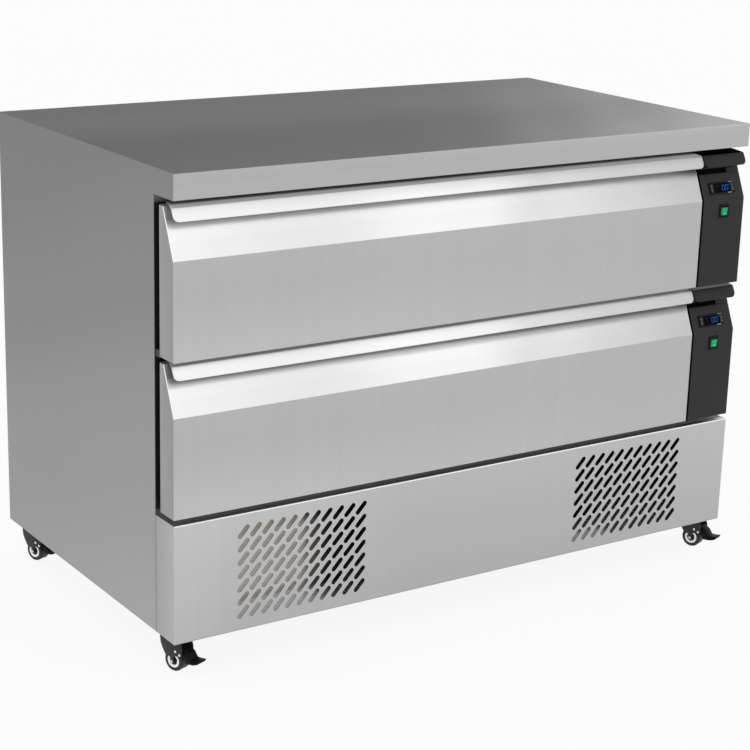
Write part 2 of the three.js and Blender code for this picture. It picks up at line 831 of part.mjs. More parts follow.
// Fan frame about the origin, blowing along Y: a plate with a round hole, and a motor on struts behind it
function fanFrame(radius) {
  const half = radius + frameMargin;
  const ring = prismAlongY(
    rectangle([-half, half], [-half, half]),
    [-frameDepth / 2, frameDepth / 2],
    [circle(0, 0, radius, fanHoleSteps)]);
  const reach = radius + strutOverlap;
  const motorY = [frameDepth / 2 - motorLength, frameDepth / 2];
  const struts = [
    box([-reach, reach], motorY, [-strutWidth / 2, strutWidth / 2]),
    box([-strutWidth / 2, strutWidth / 2], motorY, [-reach, reach]),
  ];
  const motor = turnedAlongY(rod(motorRadius, motorY), roundSteps);
  const spindle = turnedAlongY(rod(spindleRadius, [-frameDepth / 2, motorY[0] + weldOverlap]), roundSteps);
  return join(ring, ...struts, motor, spindle);
}

function fanRotor(radius) {
  const hubEnd = frameDepth / 2 - motorLength - seatGap;
  const hubY = [hubEnd - rotorHubLength, hubEnd];
  const hub = turnedAlongY([
    [spindleRadius + seatGap, hubY[0]],
    [rotorHubRadius, hubY[0]],
    [rotorHubRadius, hubY[1]],
    [spindleRadius + seatGap, hubY[1]],
    [spindleRadius + seatGap, hubY[0]],
  ], roundSteps);
  const blades = [];
  for (let i = 0; i < bladeCount; i += 1) {
    const blade = box(
      [(rotorHubRadius + spindleRadius) / 2, radius - bladeTipGap],
      [-bladeThickness / 2, bladeThickness / 2],
      [-bladeChord / 2, bladeChord / 2]);
    blade.rotateX(THREE.MathUtils.degToRad(bladePitchDegrees));
    blade.translate(0, (hubY[0] + hubY[1]) / 2, 0);
    blade.rotateY((2 * Math.PI * i) / bladeCount);
    blades.push(blade);
  }
  return join(hub, ...blades);
}

// Finned coil: upright fins that stand forwards from a spine, with a closing plate along the top
function finnedCoil(width, height, depth, finCount) {
  const pitch = (width - coilFin) / (finCount - 1);
  const outline = [[-width / 2, depth], [width / 2, depth]];
  for (let i = finCount - 1; i >= 0; i -= 1) {
    const finLeft = -width / 2 + i * pitch;
    if (i < finCount - 1) outline.push([finLeft + coilFin, depth - coilSpine]);
    outline.push([finLeft + coilFin, 0], [finLeft, 0]);
    if (i > 0) outline.push([finLeft, depth - coilSpine]);
  }
  return prismAlongZ(outline, [0, height]);
}

// Evaporator at the back of a pocket, with its fan frame beside the coil
const evaporatorFrameHalf = evaporatorFanRadius + frameMargin;

function evaporatorPlace(level) {
  const coilLeft = pocketLeft + evaporatorInset;
  const bottom = level.pocketBottom + evaporatorRise;
  return {
    coilX: coilLeft + evaporatorWidth / 2,
    fanX: coilLeft + evaporatorWidth + evaporatorFrameHalf,
    fanZ: bottom + evaporatorFrameHalf,
    fanY: pocketBack - seatGap - frameDepth / 2,
    coilY: pocketBack - seatGap - evaporatorDepth,
    bottom,
  };
}

function evaporator(level) {
  const place = evaporatorPlace(level);
  const coil = finnedCoil(evaporatorWidth + 2 * coilFin, evaporatorHeight, evaporatorDepth, evaporatorFins);
  coil.translate(place.coilX, place.coilY, place.bottom);
  const frame = fanFrame(evaporatorFanRadius).translate(place.fanX, place.fanY, place.fanZ);
  return join(coil, frame);
}

function evaporatorFan(level) {
  const place = evaporatorPlace(level);
  const rotor = addPiece(`${level.name}_evaporator_fan`, fanRotor(evaporatorFanRadius), fanPlastic);
  rotor.position.set(place.fanX, place.fanY, place.fanZ);
}

// Condensing units on the base tray; one serves each drawer
const trayTop = bodyBottom + traySheet;
const condensingUnits = [
  {
    name: 'left',
    x: left + leftCondenserInset + condenserWidth / 2,
    coilY: front + leftCondenserSetback,
    compressorY: front + leftCompressorSetback,
  },
  {
    name: 'right',
    x: right - rightCondenserInset - condenserWidth / 2,
    coilY: front + rightCondenserSetback,
    compressorY: front + rightCompressorSetback,
  },
];

function condenser(unit) {
  const coil = finnedCoil(condenserWidth, condenserHeight, condenserDepth, condenserFins);
  coil.translate(unit.x, unit.coilY, trayTop + seatGap);
  const frame = fanFrame(condenserFanRadius);
  const { y, z } = condenserFanCentre(unit);
  frame.translate(unit.x, y, z);
  return join(coil, frame);
}

function condenserFanCentre(unit) {
  return {
    y: unit.coilY + condenserDepth + frameDepth / 2 - weldOverlap,
    z: trayTop + seatGap + condenserFanRadius + frameMargin,
  };
}

function condenserFan(unit) {
  const rotor = addPiece(`${unit.name}_condenser_fan`, fanRotor(condenserFanRadius), fanPlastic);
  const { y, z } = condenserFanCentre(unit);
  rotor.position.set(unit.x, y, z);
}

// Compressor: a domed steel pot on a foot plate, with its terminal box
function compressor(unit) {
  const bottom = trayTop + seatGap;
  const potBottom = bottom + compressorFootRise;
  const potTop = potBottom + compressorHeight;
  const waist = compressorRadius - compressorShoulder;
  const pot = turnedAlongZ([
    [0, potBottom],
    [waist, potBottom],
    [compressorRadius, potBottom + compressorShoulder],
    [compressorRadius, potTop - compressorShoulder],
    [waist, potTop - compressorCrownDrop],
    [compressorCrownRadius, potTop],
    [0, potTop],
  ], compressorSteps);
  const plate = box(
    [-compressorFootWidth / 2, compressorFootWidth / 2],
    [-compressorFootDepth / 2, compressorFootDepth / 2],
    [potBottom, potBottom + compressorFootThickness]);
  const feet = [];
  for (const sideX of [-1, 1]) {
    for (const sideY of [-1, 1]) {
      const foot = turnedAlongZ(
        rod(compressorFootRadius, [bottom, potBottom + weldOverlap]), roundSteps);
      feet.push(foot.translate(
        sideX * (compressorFootWidth / 2 - compressorFootRadius),
        sideY * (compressorFootDepth / 2 - compressorFootRadius),
        0));
    }
  }
  const middle = (potBottom + potTop) / 2;
  const terminals = box(
    [compressorRadius - terminalBoxDepth / 2, compressorRadius + terminalBoxDepth / 2],
    [-terminalBoxWidth / 2, terminalBoxWidth / 2],
    [middle - terminalBoxHeight / 2, middle + terminalBoxHeight / 2]);
  return join(pot, plate, ...feet, terminals).translate(unit.x, unit.compressorY, 0);
}

// Caster in its own frame: the swivel axis is the Z axis, the floor is z = 0, and the wheel trails
// towards -Y, where its brake pedal reaches out
const axleY = -casterTrail;
const axleZ = wheelRadius;
const forkInner = wheelWidth / 2 + forkSideGap;
const forkOuter = forkInner + forkSheet;
const crownTop = casterHeight - seatGap;
const crownBottom = axleZ + wheelRadius + forkCrownGap;
const pedalPinY = axleY - pedalPinReach;
const pedalPinZ = axleZ + pedalPinRise;

function casterWheel() {
  const half = wheelWidth / 2;
  const bore = axleRadius + seatGap;
  return turnedAlongX([
    [bore, -half + hubRecess],
    [hubRadius, -half + hubRecess],
    [hubRadius + hubRecess, -half],
    [wheelRadius - wheelRound, -half],
    [wheelRadius, -half + wheelRound],
    [wheelRadius, half - wheelRound],
    [wheelRadius - wheelRound, half],
    [hubRadius + hubRecess, half],
    [hubRadius, half - hubRecess],
    [bore, half - hubRecess],
    [bore, -half + hubRecess],
  ], wheelSteps);
}

function casterFork() {
  const cheekTop = crownBottom + forkCrownThickness;
  const skirtZ = axleZ + forkSkirtRise;
  const rearY = axleY + forkRearReach;
  const cheekOutline = [
    [rearY, cheekTop],
    [axleY + forkShoulderReach, axleZ + forkShoulderRise],
    [axleY + forkWaistReach, axleZ + forkWaistRise],
    [axleY + forkSkirtReach, skirtZ],
    [axleY + forkTongue, skirtZ],
    [axleY + forkTongue, axleZ - forkTongue],
    [axleY - forkTongue, axleZ - forkTongue],
    [axleY - forkTongue, skirtZ],
    [pedalPinY, pedalPinZ - pedalBossRadius],
    [pedalPinY - pedalBossRadius, pedalPinZ],
    [pedalPinY - pedalBossRadius, pedalPinZ + pedalBossRadius],
    [pedalPinY, cheekTop],
  ];
  const cheeks = [
    prismAlongX(cheekOutline, [-forkOuter, -forkInner]),
    prismAlongX(cheekOutline, [forkInner, forkOuter]),
  ];
  const crown = box(
    [-forkOuter, forkOuter],
    [pedalPinY + pedalBossRadius, rearY],
    [crownBottom, cheekTop]);
  const head = turnedAlongZ(rod(forkHeadRadius, [crownBottom, crownTop]), forkHeadSteps);
  const stem = turnedAlongZ(rod(stemRadius, [crownTop - weldOverlap, crownTop + stemLength]), roundSteps);
  const axle = turnedAlongX(rod(axleRadius, [-forkOuter + seatGap, forkOuter - seatGap]), roundSteps);
  axle.translate(0, axleY, axleZ);
  const pin = turnedAlongX(rod(pedalPinRadius, [-forkOuter + seatGap, forkOuter - seatGap]), roundSteps);
  pin.translate(0, pedalPinY, pedalPinZ);
  return join(...cheeks, crown, head, stem, axle, pin);
}

// Pedal outline in (y, z): a boss round its pin, a shoulder, and a toe plate that reaches out
function brakePedal() {
  const reach = (distance) => axleY - distance;
  const rise = (height) => axleZ + height;
  const outline = [
    [pedalPinY + pedalBossRadius, pedalPinZ],
    [reach(pedalCrestReach), rise(pedalCrestRise)],
    [reach(pedalBrowReach), rise(pedalBrowRise)],
    [reach(pedalShoulderReach), rise(pedalShoulderRise)],
    [reach(pedalNeckReach), rise(pedalNeckRise)],
    [reach(pedalTipReach - pedalTipSetback), rise(pedalTipRise)],
    [reach(pedalTipReach), rise(pedalTipRise - pedalTipSetback)],
    [reach(pedalToeReach), rise(pedalToeRise)],
    [reach(pedalHeelReach), rise(pedalHeelRise)],
    [reach(pedalSoleReach), rise(pedalSoleRise)],
    [reach(pedalPadReach), rise(pedalPadRise)],
    [reach(pedalNoseReach), rise(pedalNoseRise)],
  ];
  const half = forkInner - pedalSideGap;
  const bore = circle(pedalPinY, pedalPinZ, pedalPinRadius + seatGap, roundSteps);
  return prismAlongX(outline, [-half, half], [bore]);
}

function addCaster(place) {
  const caster = new THREE.Group();
  caster.position.set(place.x, place.y, 0);
  caster.rotation.z = THREE.MathUtils.degToRad(casterTurnDegrees);
  counter.add(caster);
  addPiece(`${place.name}_caster_fork`, casterFork(), casterPlastic, caster);
  const wheel = addPiece(`${place.name}_caster_wheel`, casterWheel(), tyreRubber, caster);
  wheel.position.set(0, axleY, axleZ);
  addPiece(`${place.name}_brake_pedal`, brakePedal(), casterPlastic, caster);
}

// The counter
addPiece('worktop', worktop(), steel);
addPiece('left_side_panel', sidePanel(left, 1), steel);
addPiece('right_side_panel', sidePanel(right, -1), steel);
addPiece('back_panel', backPanel(), steel);
addPiece('insulated_body', insulatedBody(), lining);
addPiece('plinth_panel', plinthPanel(), steel);
addPiece('plinth_left_cheek', plinthCheek(left, 1), steel);
addPiece('plinth_right_cheek', plinthCheek(right, -1), steel);
addPiece('base_tray', baseTray(), steel);
addPiece('cable_gland', cableGland(), controlPlastic);

for (const level of levels) {
  const { name } = level;
  addPiece(`${name}_drawer_front`, drawerFront(level), steel);
  addPiece(`${name}_drawer_inner_panel`, innerPanel(level), core);
  addPiece(`${name}_drawer_gasket`, gasket(level), seal);
  addPiece(`${name}_drawer_box`, drawerBox(level), steel);
  for (const [side, sign] of [['left', -1], ['right', 1]]) {
    const rail = slideChannel(level, sign, seatGap, railDepth, railHeight, railY, railLength);
    const middle = slideChannel(level, sign, middleWall, middleDepth, middleHeight,
      railY + middleSetback, railLength - middleShortfall);
    addPiece(`${name}_${side}_slide_rail`, rail, slideSteel);
    addPiece(`${name}_${side}_slide_middle`, middle, slideSteel);
  }

  addPiece(`${name}_control_panel`, controlPanel(level), panelPlastic);
  const thermostat = new THREE.Group();
  const slopeCentre = thermostatCentre(level);
  thermostat.position.set(slopeCentre.x, slopeCentre.y, slopeCentre.z);
  thermostat.rotation.x = -slopeAngle;
  counter.add(thermostat);
  addPiece(`${name}_thermostat`, thermostatHousing(), controlPlastic, thermostat);
  addPiece(`${name}_left_keys`, thermostatKeys(leftKeyX), keyPlastic, thermostat);
  addPiece(`${name}_right_keys`, thermostatKeys(rightKeyX), keyPlastic, thermostat);

  const powerSwitch = new THREE.Group();
  const switchPlace = switchCentre(level);
  powerSwitch.position.set(switchPlace.x, front, switchPlace.z);
  counter.add(powerSwitch);
  addPiece(`${name}_switch_body`, switchBody(), controlPlastic, powerSwitch);
  addPiece(`${name}_power_rocker`, powerRocker(), greenLens, powerSwitch);

  addPiece(`${name}_evaporator`, evaporator(level), coldCoilMetal);
  evaporatorFan(level);
}

for (const unit of condensingUnits) {
  addPiece(`${unit.name}_condenser`, condenser(unit), coilMetal);
  condenserFan(unit);
  addPiece(`${unit.name}_compressor`, compressor(unit), blackMetal);
}

casterPlaces.forEach(addCaster);

export default counter;
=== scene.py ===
"""Looks of the refrigerated drawer counter: brushed steel, black control strips, slotted plinth, casters."""

import bpy
import bmesh
import math
from mathutils import Matrix, Vector
from mathutils.geometry import tessellate_polygon


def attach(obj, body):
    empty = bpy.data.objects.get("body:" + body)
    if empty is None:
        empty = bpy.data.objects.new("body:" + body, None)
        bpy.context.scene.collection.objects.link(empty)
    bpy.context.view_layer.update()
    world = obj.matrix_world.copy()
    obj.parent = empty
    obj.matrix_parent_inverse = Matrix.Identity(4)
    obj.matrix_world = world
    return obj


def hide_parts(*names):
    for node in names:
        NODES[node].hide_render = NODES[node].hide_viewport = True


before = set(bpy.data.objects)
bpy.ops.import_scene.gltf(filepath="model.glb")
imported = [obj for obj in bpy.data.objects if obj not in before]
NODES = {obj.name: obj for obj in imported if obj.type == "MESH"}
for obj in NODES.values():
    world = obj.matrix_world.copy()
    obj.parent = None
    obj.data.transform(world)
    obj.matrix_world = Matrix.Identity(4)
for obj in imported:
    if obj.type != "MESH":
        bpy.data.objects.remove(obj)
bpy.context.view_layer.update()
MM = 0.001
WHITE = (1.0, 1.0, 1.0, 1.0)
TO_X = Matrix.Rotation(math.pi / 2, 4, "Y")  # turns local Z to X
TO_Y = Matrix.Rotation(math.pi / 2, 4, "X")  # turns local Z to -Y

# Sizes of the counter in millimetres, in the same frame as the CAD part
LEFT, RIGHT = -625.0, 625.0
FRONT, BACK = -350.0, 350.0
WORKTOP_BOTTOM, WORKTOP_TOP = 835.72, 880.0
WORKTOP_ENDS_DRAWN_IN = 0.8
FRONT_RIGHT = 516.0
STRIP_LEFT = 520.0
LEVELS = {"upper": (825.0, 566.0), "lower": (560.0, 293.0)}  # top and bottom of each front
FRONT_DEPTH = 50.0
STRIP_DEPTH = 67.7
SLOPE_SETBACK = 38.0
SLOPE_HEIGHT = 89.0
SLOPE_ANGLE = math.atan2(SLOPE_SETBACK, SLOPE_HEIGHT)
LIP_HEIGHT = 24.0
LIP_FALL = 2.5
LIP_LEAN = 12.0
LIP_CORNER = 10.0
LIP_SHEET = 2.4
LIP_TAPER_REACH = 45.0
LIP_END_DRAWN_IN = 11.0
LIP_INSET = 2.5
HEM = 3.0
FINGER_SLOT = (32.0, 41.0)  # drop of its upper and lower edge
FINGER_SLOT_RIGHT = 592.0
THERMOSTAT_X, THERMOSTAT_DROP = 570.5, 68.0
SWITCH_X, SWITCH_DROP = 573.5, 112.0
SWITCH_POCKET = (9.0, 12.0)  # half its width, and its depth
ROCKER_REST = math.radians(7)
PLINTH_BOTTOM, PLINTH_TOP = 68.0, 283.0
PLINTH_FOLD = 12.0
SHEET = 1.2
SLOT_LENGTH, SLOT_WIDTH = 30.0, 9.1
SLOT_SLANT = math.radians(47)
SLOT_COLUMNS, SLOT_ROWS = 11, 7
SLOT_PITCH = (24.0, 24.7)
SLOT_GROUPS = (-371.0, 371.0)
CONDENSERS = {"left": (-350.0, -250.0), "right": (330.0, -20.0)}  # middle in x and front in y
CASTER_TURN = math.radians(21)
CASTERS = {
    "front_left": (-599.0, -298.0),
    "front_right": (599.0, -298.0),
    "back_left": (-599.0, 290.0),
    "back_right": (599.0, 290.0),
}


# Mesh helpers. Outlines and positions are in millimetres, and meshes are stored in metres.
def shift(x, y, z):
    return Matrix.Translation((x, y, z))


def finish_mesh(name, bm, material, body, replaces=(), smooth_angle=35, matrix=Matrix.Identity(4)):
    """Moves what was modelled by the matrix and makes it a piece that rides on a body."""
    mesh = bpy.data.meshes.new(name)
    bmesh.ops.transform(bm, matrix=matrix, verts=bm.verts)
    bmesh.ops.scale(bm, vec=(MM, MM, MM), verts=bm.verts)
    bmesh.ops.recalc_face_normals(bm, faces=bm.faces)
    bm.to_mesh(mesh)
    bm.free()
    mesh.shade_smooth()
    mesh.set_sharp_from_angle(angle=math.radians(smooth_angle))
    piece = bpy.data.objects.new(name, mesh)
    bpy.context.scene.collection.objects.link(piece)
    mesh.materials.append(material)
    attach(piece, body)
    if replaces:
        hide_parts(*replaces)
    return piece


def paint(piece, materials, choose):
    """Adds materials after the one a piece has, and picks one for each face by its normal."""
    for material in materials:
        piece.data.materials.append(material)
    for face in piece.data.polygons:
        face.material_index = choose(face.normal)


def round_edges(piece, width, segments=2, angle=30):
    """Rounds a piece's edges with a modifier, which leaves its own mesh as it is."""
    bevel = piece.modifiers.new("round", "BEVEL")
    bevel.width = width * MM
    bevel.segments = segments
    bevel.limit_method = "ANGLE"
    bevel.angle_limit = math.radians(angle)


def soften(node, width, segments=2):
    """Rounds the edges of a CAD node, whose faces are joined first."""
    weld = NODES[node].modifiers.new("weld", "WELD")
    weld.merge_threshold = 0.00002
    round_edges(NODES[node], width, segments)


def place(axis, u, v, w):
    """Turns outline coordinates (u, v) and the distance w along the axis into x, y, z."""
    return {"X": (w, u, v), "Y": (u, w, v), "Z": (u, v, w)}[axis]


def bridge(bm, ring, other):
    """Adds the faces between two rings of as many points."""
    count = len(ring)
    return [bm.faces.new((ring[i], other[i], other[(i + 1) % count], ring[(i + 1) % count]))
            for i in range(count)]


def add_prism(bm, outline, axis, span, bevel=0.0, segments=2):
    """Adds a closed prism from an outline, with every sharp edge rounded by the bevel."""
    near, far = [[bm.verts.new(place(axis, u, v, w)) for u, v in outline] for w in span]
    faces = [bm.faces.new(near), bm.faces.new(far[::-1])] + bridge(bm, near, far)
    bmesh.ops.recalc_face_normals(bm, faces=faces)
    if bevel > 0:
        edges = {edge for face in faces for edge in face.edges if edge.calc_face_angle(0) > math.radians(28)}
        bmesh.ops.bevel(bm, geom=list(edges), offset=bevel, segments=segments, profile=0.5,
                        affect="EDGES", clamp_overlap=True)


def add_box(bm, span_x, span_y, span_z, bevel=0.0, segments=2):
    (x0, x1), (y0, y1) = span_x, span_y
    add_prism(bm, [(x0, y0), (x1, y0), (x1, y1), (x0, y1)], "Z", span_z, bevel, segments)


def add_flat(bm, outline, span, bevel=0.0, segments=2):
    """A prism whose outline lies in local X and Z and whose thickness runs along local Y."""
    add_prism(bm, outline, "Y", span, bevel, segments)


def add_turned(bm, profile, matrix, steps):
    """Adds a round piece about local Z from (radius, height) points; a radius of zero closes it."""
    rings = []
    for radius, height in profile:
        angles = [2 * math.pi * i / steps for i in range(steps)] if radius else [0]
        rings.append([bm.verts.new(matrix @ Vector((radius * math.cos(a), radius * math.sin(a), height)))
                      for a in angles])
    for low, high in zip(rings, rings[1:]):
        if len(low) == len(high):
            bridge(bm, low, high)
            continue
        (tip,), ring = sorted((low, high), key=len)
        for i in range(steps):
            bm.faces.new((tip, ring[i], ring[(i + 1) % steps]))


def add_rod(bm, radius, span, matrix, steps):
    """Adds a plain round rod about local Z."""
    add_turned(bm, [(0, span[0]), (radius, span[0]), (radius, span[1]), (0, span[1])], matrix, steps)


def fillet(outline, radii, steps):
    """Rounds the corners of an outline; radii is one radius, or one for each point."""
    points = []
    count = len(outline)
    for i, corner in enumerate(outline):
        radius = radii[i] if isinstance(radii, (list, tuple)) else radii
        before, here, after = Vector(outline[i - 1]), Vector(corner), Vector(outline[(i + 1) % count])
        if radius <= 0:
            points.append(tuple(here))
            continue
        to_before = (before - here).normalized()
        to_after = (after - here).normalized()
        angle = to_before.angle(to_after)
        reach = radius / math.tan(angle / 2)
        reach = min(reach, (before - here).length * 0.49, (after - here).length * 0.49)
        radius = reach * math.tan(angle / 2)
        centre = here + (to_before + to_after).normalized() * (radius / math.sin(angle / 2))
        start = here + to_before * reach - centre
        end = here + to_after * reach - centre
        sweep = math.copysign(start.angle(end), start.x * end.y - start.y * end.x)
        for k in range(steps + 1):
            cos, sin = math.cos(sweep * k / steps), math.sin(sweep * k / steps)
            points.append((centre.x + start.x * cos - start.y * sin,
                           centre.y + start.x * sin + start.y * cos))
    return points


def rounded(x0, x1, z0, z1, radius):
    return fillet([(x0, z0), (x1, z0), (x1, z1), (x0, z1)], radius, 4)


# Materials
FINE_GRAIN = (3.0, 900.0)  # noise scales along and across the grain
BROAD_GRAIN = (1.5, 90.0)


def linear(value):
    """A tone as it shows on screen, from 0 to 1, as the linear value that shaders take."""
    return value / 12.92 if value <= 0.04045 else ((value + 0.055) / 1.055) ** 2.4


def screen(colour):
    return tuple(linear(channel) for channel in colour) + (1.0,)


def grey(tone):
    return screen((tone, tone, tone))


class Graph:
    """A short way to write the nodes of a material or of the world."""

    def __init__(self, owner):
        owner.use_nodes = True
        self.owner = owner
        self.tree = owner.node_tree
        self.shader = self.tree.nodes.get("Principled BSDF")

    def feed(self, socket, given):
        """Links a socket to another one, or sets it to a plain value."""
        if isinstance(given, bpy.types.NodeSocket):
            self.tree.links.new(given, socket)
        else:
            socket.default_value = given

    def node(self, kind, inputs, **settings):
        """Adds a node. inputs holds what feeds its sockets, by name or number."""
        node = self.tree.nodes.new("ShaderNode" + kind)
        for name, setting in settings.items():
            setattr(node, name, setting)
        for key, given in inputs.items():
            self.feed(node.inputs[key], given)
        return node

    def set(self, name, given):
        self.feed(self.shader.inputs[name], given)

    def value(self, operation, a, b, clamp=False):
        return self.node("Math", {0: a, 1: b}, operation=operation, use_clamp=clamp).outputs[0]

    def times(self, a, b):
        return self.value("MULTIPLY", a, b)

    def position(self):
        """The place on the object, in metres of the frame that all pieces share."""
        return self.node("TexCoord", {}).outputs["Object"]

    def axes(self):
        return self.node("SeparateXYZ", {0: self.position()}).outputs

    def noise(self, scale, detail):
        """Noise around 0.5, stretched by a scale for each axis."""
        mapping = self.node("Mapping", {"Vector": self.position(), "Scale": scale})
        return self.node("TexNoise", {"Vector": mapping.outputs[0], "Scale": 1.0, "Detail": detail,
                                      "Roughness": 0.55}).outputs["Fac"]

    def even_noise(self, scale, detail=2.0):
        return self.noise((scale, scale, scale), detail)

    def around(self, source, middle, swing):
        """Maps noise around 0.5 to values around the middle."""
        return self.value("ADD", self.times(self.value("SUBTRACT", source, 0.5), swing * 2), middle)

    def ramp(self, source, stops, colour=grey):
        """A grey ramp; stops are (position in metres, tone on screen)."""
        low, high = stops[0][0], stops[-1][0]
        share = self.value("DIVIDE", self.value("SUBTRACT", source, low), high - low, clamp=True)
        node = self.node("ValToRGB", {0: share})
        node.color_ramp.interpolation = "EASE"
        elements = node.color_ramp.elements
        while len(elements) < len(stops):
            elements.new(0.5)
        for element, (position, tone) in zip(elements, stops):
            element.position = (position - low) / (high - low)
            element.color = colour(tone)
        return node.outputs[0]

    def factors(self, source, stops):
        """A ramp whose stops hold plain factors instead of tones."""
        return self.ramp(source, stops, lambda factor: (factor, factor, factor, 1.0))

    def tint(self, colour, *factors):
        """Multiplies a colour by grey factors around 1."""
        if not isinstance(colour, bpy.types.NodeSocket):
            colour = colour[:3]
        for factor in factors:
            colour = self.node("VectorMath", {0: colour, "Scale": factor}, operation="SCALE").outputs[0]
        return colour

    def bump(self, height, strength, distance):
        node = self.node("Bump", {"Strength": strength, "Distance": distance, "Height": height})
        self.set("Normal", node.outputs[0])

    def show_white(self, lit, white, share, output):
        """Mixes white into the lit shader where the camera, a reflection or glass shows it."""
        path = self.node("LightPath", {}).outputs
        seen = self.value("MAXIMUM", path["Is Glossy Ray"], path["Is Transmission Ray"])
        seen = self.value("MAXIMUM", path["Is Camera Ray"], seen)
        mix = self.node("MixShader", {0: self.times(seen, share), 1: lit, 2: white})
        self.feed(self.tree.nodes[output].inputs["Surface"], mix.outputs[0])


def along(axis, length, across):
    """Scales for noise that is drawn out along one axis."""
    return tuple(length if letter == axis else across for letter in "XYZ")


def brushed_steel(name, base, roughness, grain="Z", metallic=0.9, swing=0.035, edge_tint=1.0, glow=None):
    """Brushed steel with its grain along one axis. base is a tone, or a function of the graph; glow, if
    given, is a function of the graph for painted light given off as emission.
    """
    g = Graph(bpy.data.materials.new(name))
    g.set("Specular Tint", (edge_tint, edge_tint, edge_tint, 1.0))
    if glow:
        g.set("Emission Color", WHITE)
        g.set("Emission Strength", glow(g))
    fine = g.noise(along(grain, *FINE_GRAIN), 4.0)
    broad = g.noise(along(grain, *BROAD_GRAIN), 2.0)
    cloud = g.even_noise(3.0)
    colour = base(g) if callable(base) else grey(base)
    g.set("Base Color", g.tint(colour, g.around(fine, 1.0, swing), g.around(broad, 1.0, swing),
                               g.around(cloud, 1.0, swing * 0.8)))
    g.set("Metallic", metallic)
    g.set("Roughness", g.around(fine, roughness, 0.06))
    g.bump(fine, 0.04, 0.0004)
    return g.owner


def plastic(name, tone, roughness=0.45, grain=700.0, swing=0.06, bump=0.08, shine=0.2):
    g = Graph(bpy.data.materials.new(name))
    g.set("Specular IOR Level", shine)
    fine = g.even_noise(grain, detail=3.0)
    cloud = g.even_noise(9.0)
    g.set("Base Color", g.tint(grey(tone), g.around(fine, 1.0, swing), g.around(cloud, 1.0, swing)))
    g.set("Roughness", g.around(fine, roughness, 0.08))
    g.bump(fine, bump, 0.0003)
    return g.owner


def coloured(name, colour, roughness=0.4, metallic=0.0, grain=400.0, swing=0.08, emission=None, strength=0.0,
             shine=0.5, painted_shade=None):
    """A plain colour on screen. strength is a number or a function of the graph, and the last argument a
    function whose factors darken the colour as painted shade.
    """
    g = Graph(bpy.data.materials.new(name))
    g.set("Specular IOR Level", shine)
    fine = g.even_noise(grain)
    factors = [g.around(fine, 1.0, swing)] + ([painted_shade(g)] if painted_shade else [])
    g.set("Base Color", g.tint(screen(colour), *factors))
    g.set("Roughness", g.around(fine, roughness, 0.05))
    g.set("Metallic", metallic)
    if emission:
        g.set("Emission Color", screen(emission))
        g.set("Emission Strength", strength(g) if callable(strength) else strength)
    g.bump(fine, 0.03, 0.0002)
    return g.owner


def worktop_tones(g):
    """Painted reflection and shade: the top is dark at the left and brightens towards its front right."""
    x, y, _ = g.axes()
    tone = g.ramp(g.value("SUBTRACT", x, g.times(y, 0.60)),
                  [(-0.80, 0.405), (0.0, 0.425), (0.17, 0.447), (0.38, 0.54), (0.58, 0.62), (0.79, 0.69)])
    return g.tint(tone, g.factors(y, [(-0.35, 1.34), (0.0, 1.13), (0.35, 0.88)]))


def side_tones(g):
    """Painted shade: the sides are darkest at the top and at the back."""
    _, y, z = g.axes()
    tone = g.ramp(g.value("ADD", z, g.times(y, 0.35)),
                  [(-0.05, 0.665), (0.30, 0.615), (0.62, 0.545), (0.88, 0.50), (1.10, 0.47)])
    return g.tint(tone, g.factors(y, [(-0.35, 0.95), (0.35, 0.88)]))


def plinth_tones(g):
    """The plinth, with painted light that makes it a little brighter at its left end and higher up and darker
    along its lower edge, painted shade on the cut walls of its slots, and a painted highlight on its end
    corners.
    """
    x, y, z = g.axes()
    left = g.factors(x, [(-0.625, 1.13), (-0.45, 1.06), (-0.10, 0.97), (0.40, 0.97), (0.625, 1.0)])
    fall = g.factors(z, [(0.068, 0.80), (0.0695, 0.82), (0.0703, 0.94), (0.17, 1.0), (0.283, 1.06)])
    # Painted shade on the slot walls and the inner faces of the sheet, kept off the top fold, and a painted
    # highlight on the end corners.
    skin = g.factors(y, [(-0.3498, 1.0), (-0.3496, 0.06)])
    fold = g.factors(z, [(0.2812, 0.0), (0.2816, 1.0)])
    corner = g.factors(g.value("ABSOLUTE", x, 0.0), [(0.6240, 0.0), (0.6245, 1.12)])
    return g.tint(grey(0.733), left, fall, g.value("MAXIMUM", g.value("MAXIMUM", skin, fold), corner))


def cheek_tones(g):
    """The plinth's cheeks, with a dark seam where they meet the side panels."""
    _, y, _ = g.axes()
    return g.ramp(y, [(-0.350, 0.695), (-0.288, 0.652), (-0.2862, 0.57), (-0.282, 0.55)])


def fin_tones(g):
    """Condenser fins that are lit through the slots at their left and lie in shade at their right."""
    x, _, _ = g.axes()
    return g.factors(x, [(-0.42, 1.0), (-0.32, 1.0), (-0.285, 0.30), (-0.25, 0.06)])


def fin_glow(g):
    """Light that falls on the fins through the slots, strongest at their left and gone at their right."""
    x, _, z = g.axes()
    across = g.factors(x, [(-0.44, 1.0), (-0.315, 0.85), (-0.285, 0.25), (-0.26, 0.06), (-0.24, 0.03)])
    low = g.factors(z, [(0.074, 0.5), (0.10, 1.0), (0.20, 0.9)])
    return g.times(g.times(across, low), 0.15)


def pan_glow(g):
    """Light on the upper face of the base tray behind the slots, strongest at the left of each group."""
    x, y, z = g.axes()
    left = g.factors(x, [(-0.52, 1.0), (-0.335, 1.0), (-0.305, 0.55), (-0.285, 0.12), (-0.26, 0.0)])
    right = g.factors(x, [(0.20, 0.0), (0.26, 0.9), (0.35, 0.8), (0.39, 0.0)])
    near_left = g.factors(y, [(-0.345, 1.0), (-0.26, 1.0), (-0.20, 0.4), (-0.12, 0.0)])
    near_right = g.factors(y, [(-0.345, 1.0), (-0.285, 0.9), (-0.262, 0.0)])
    above = g.factors(z, [(0.0692, 0.0), (0.0698, 1.0)])
    spread = g.value("ADD", g.times(left, near_left), g.times(right, near_right))
    return g.times(g.times(spread, above), 0.20)


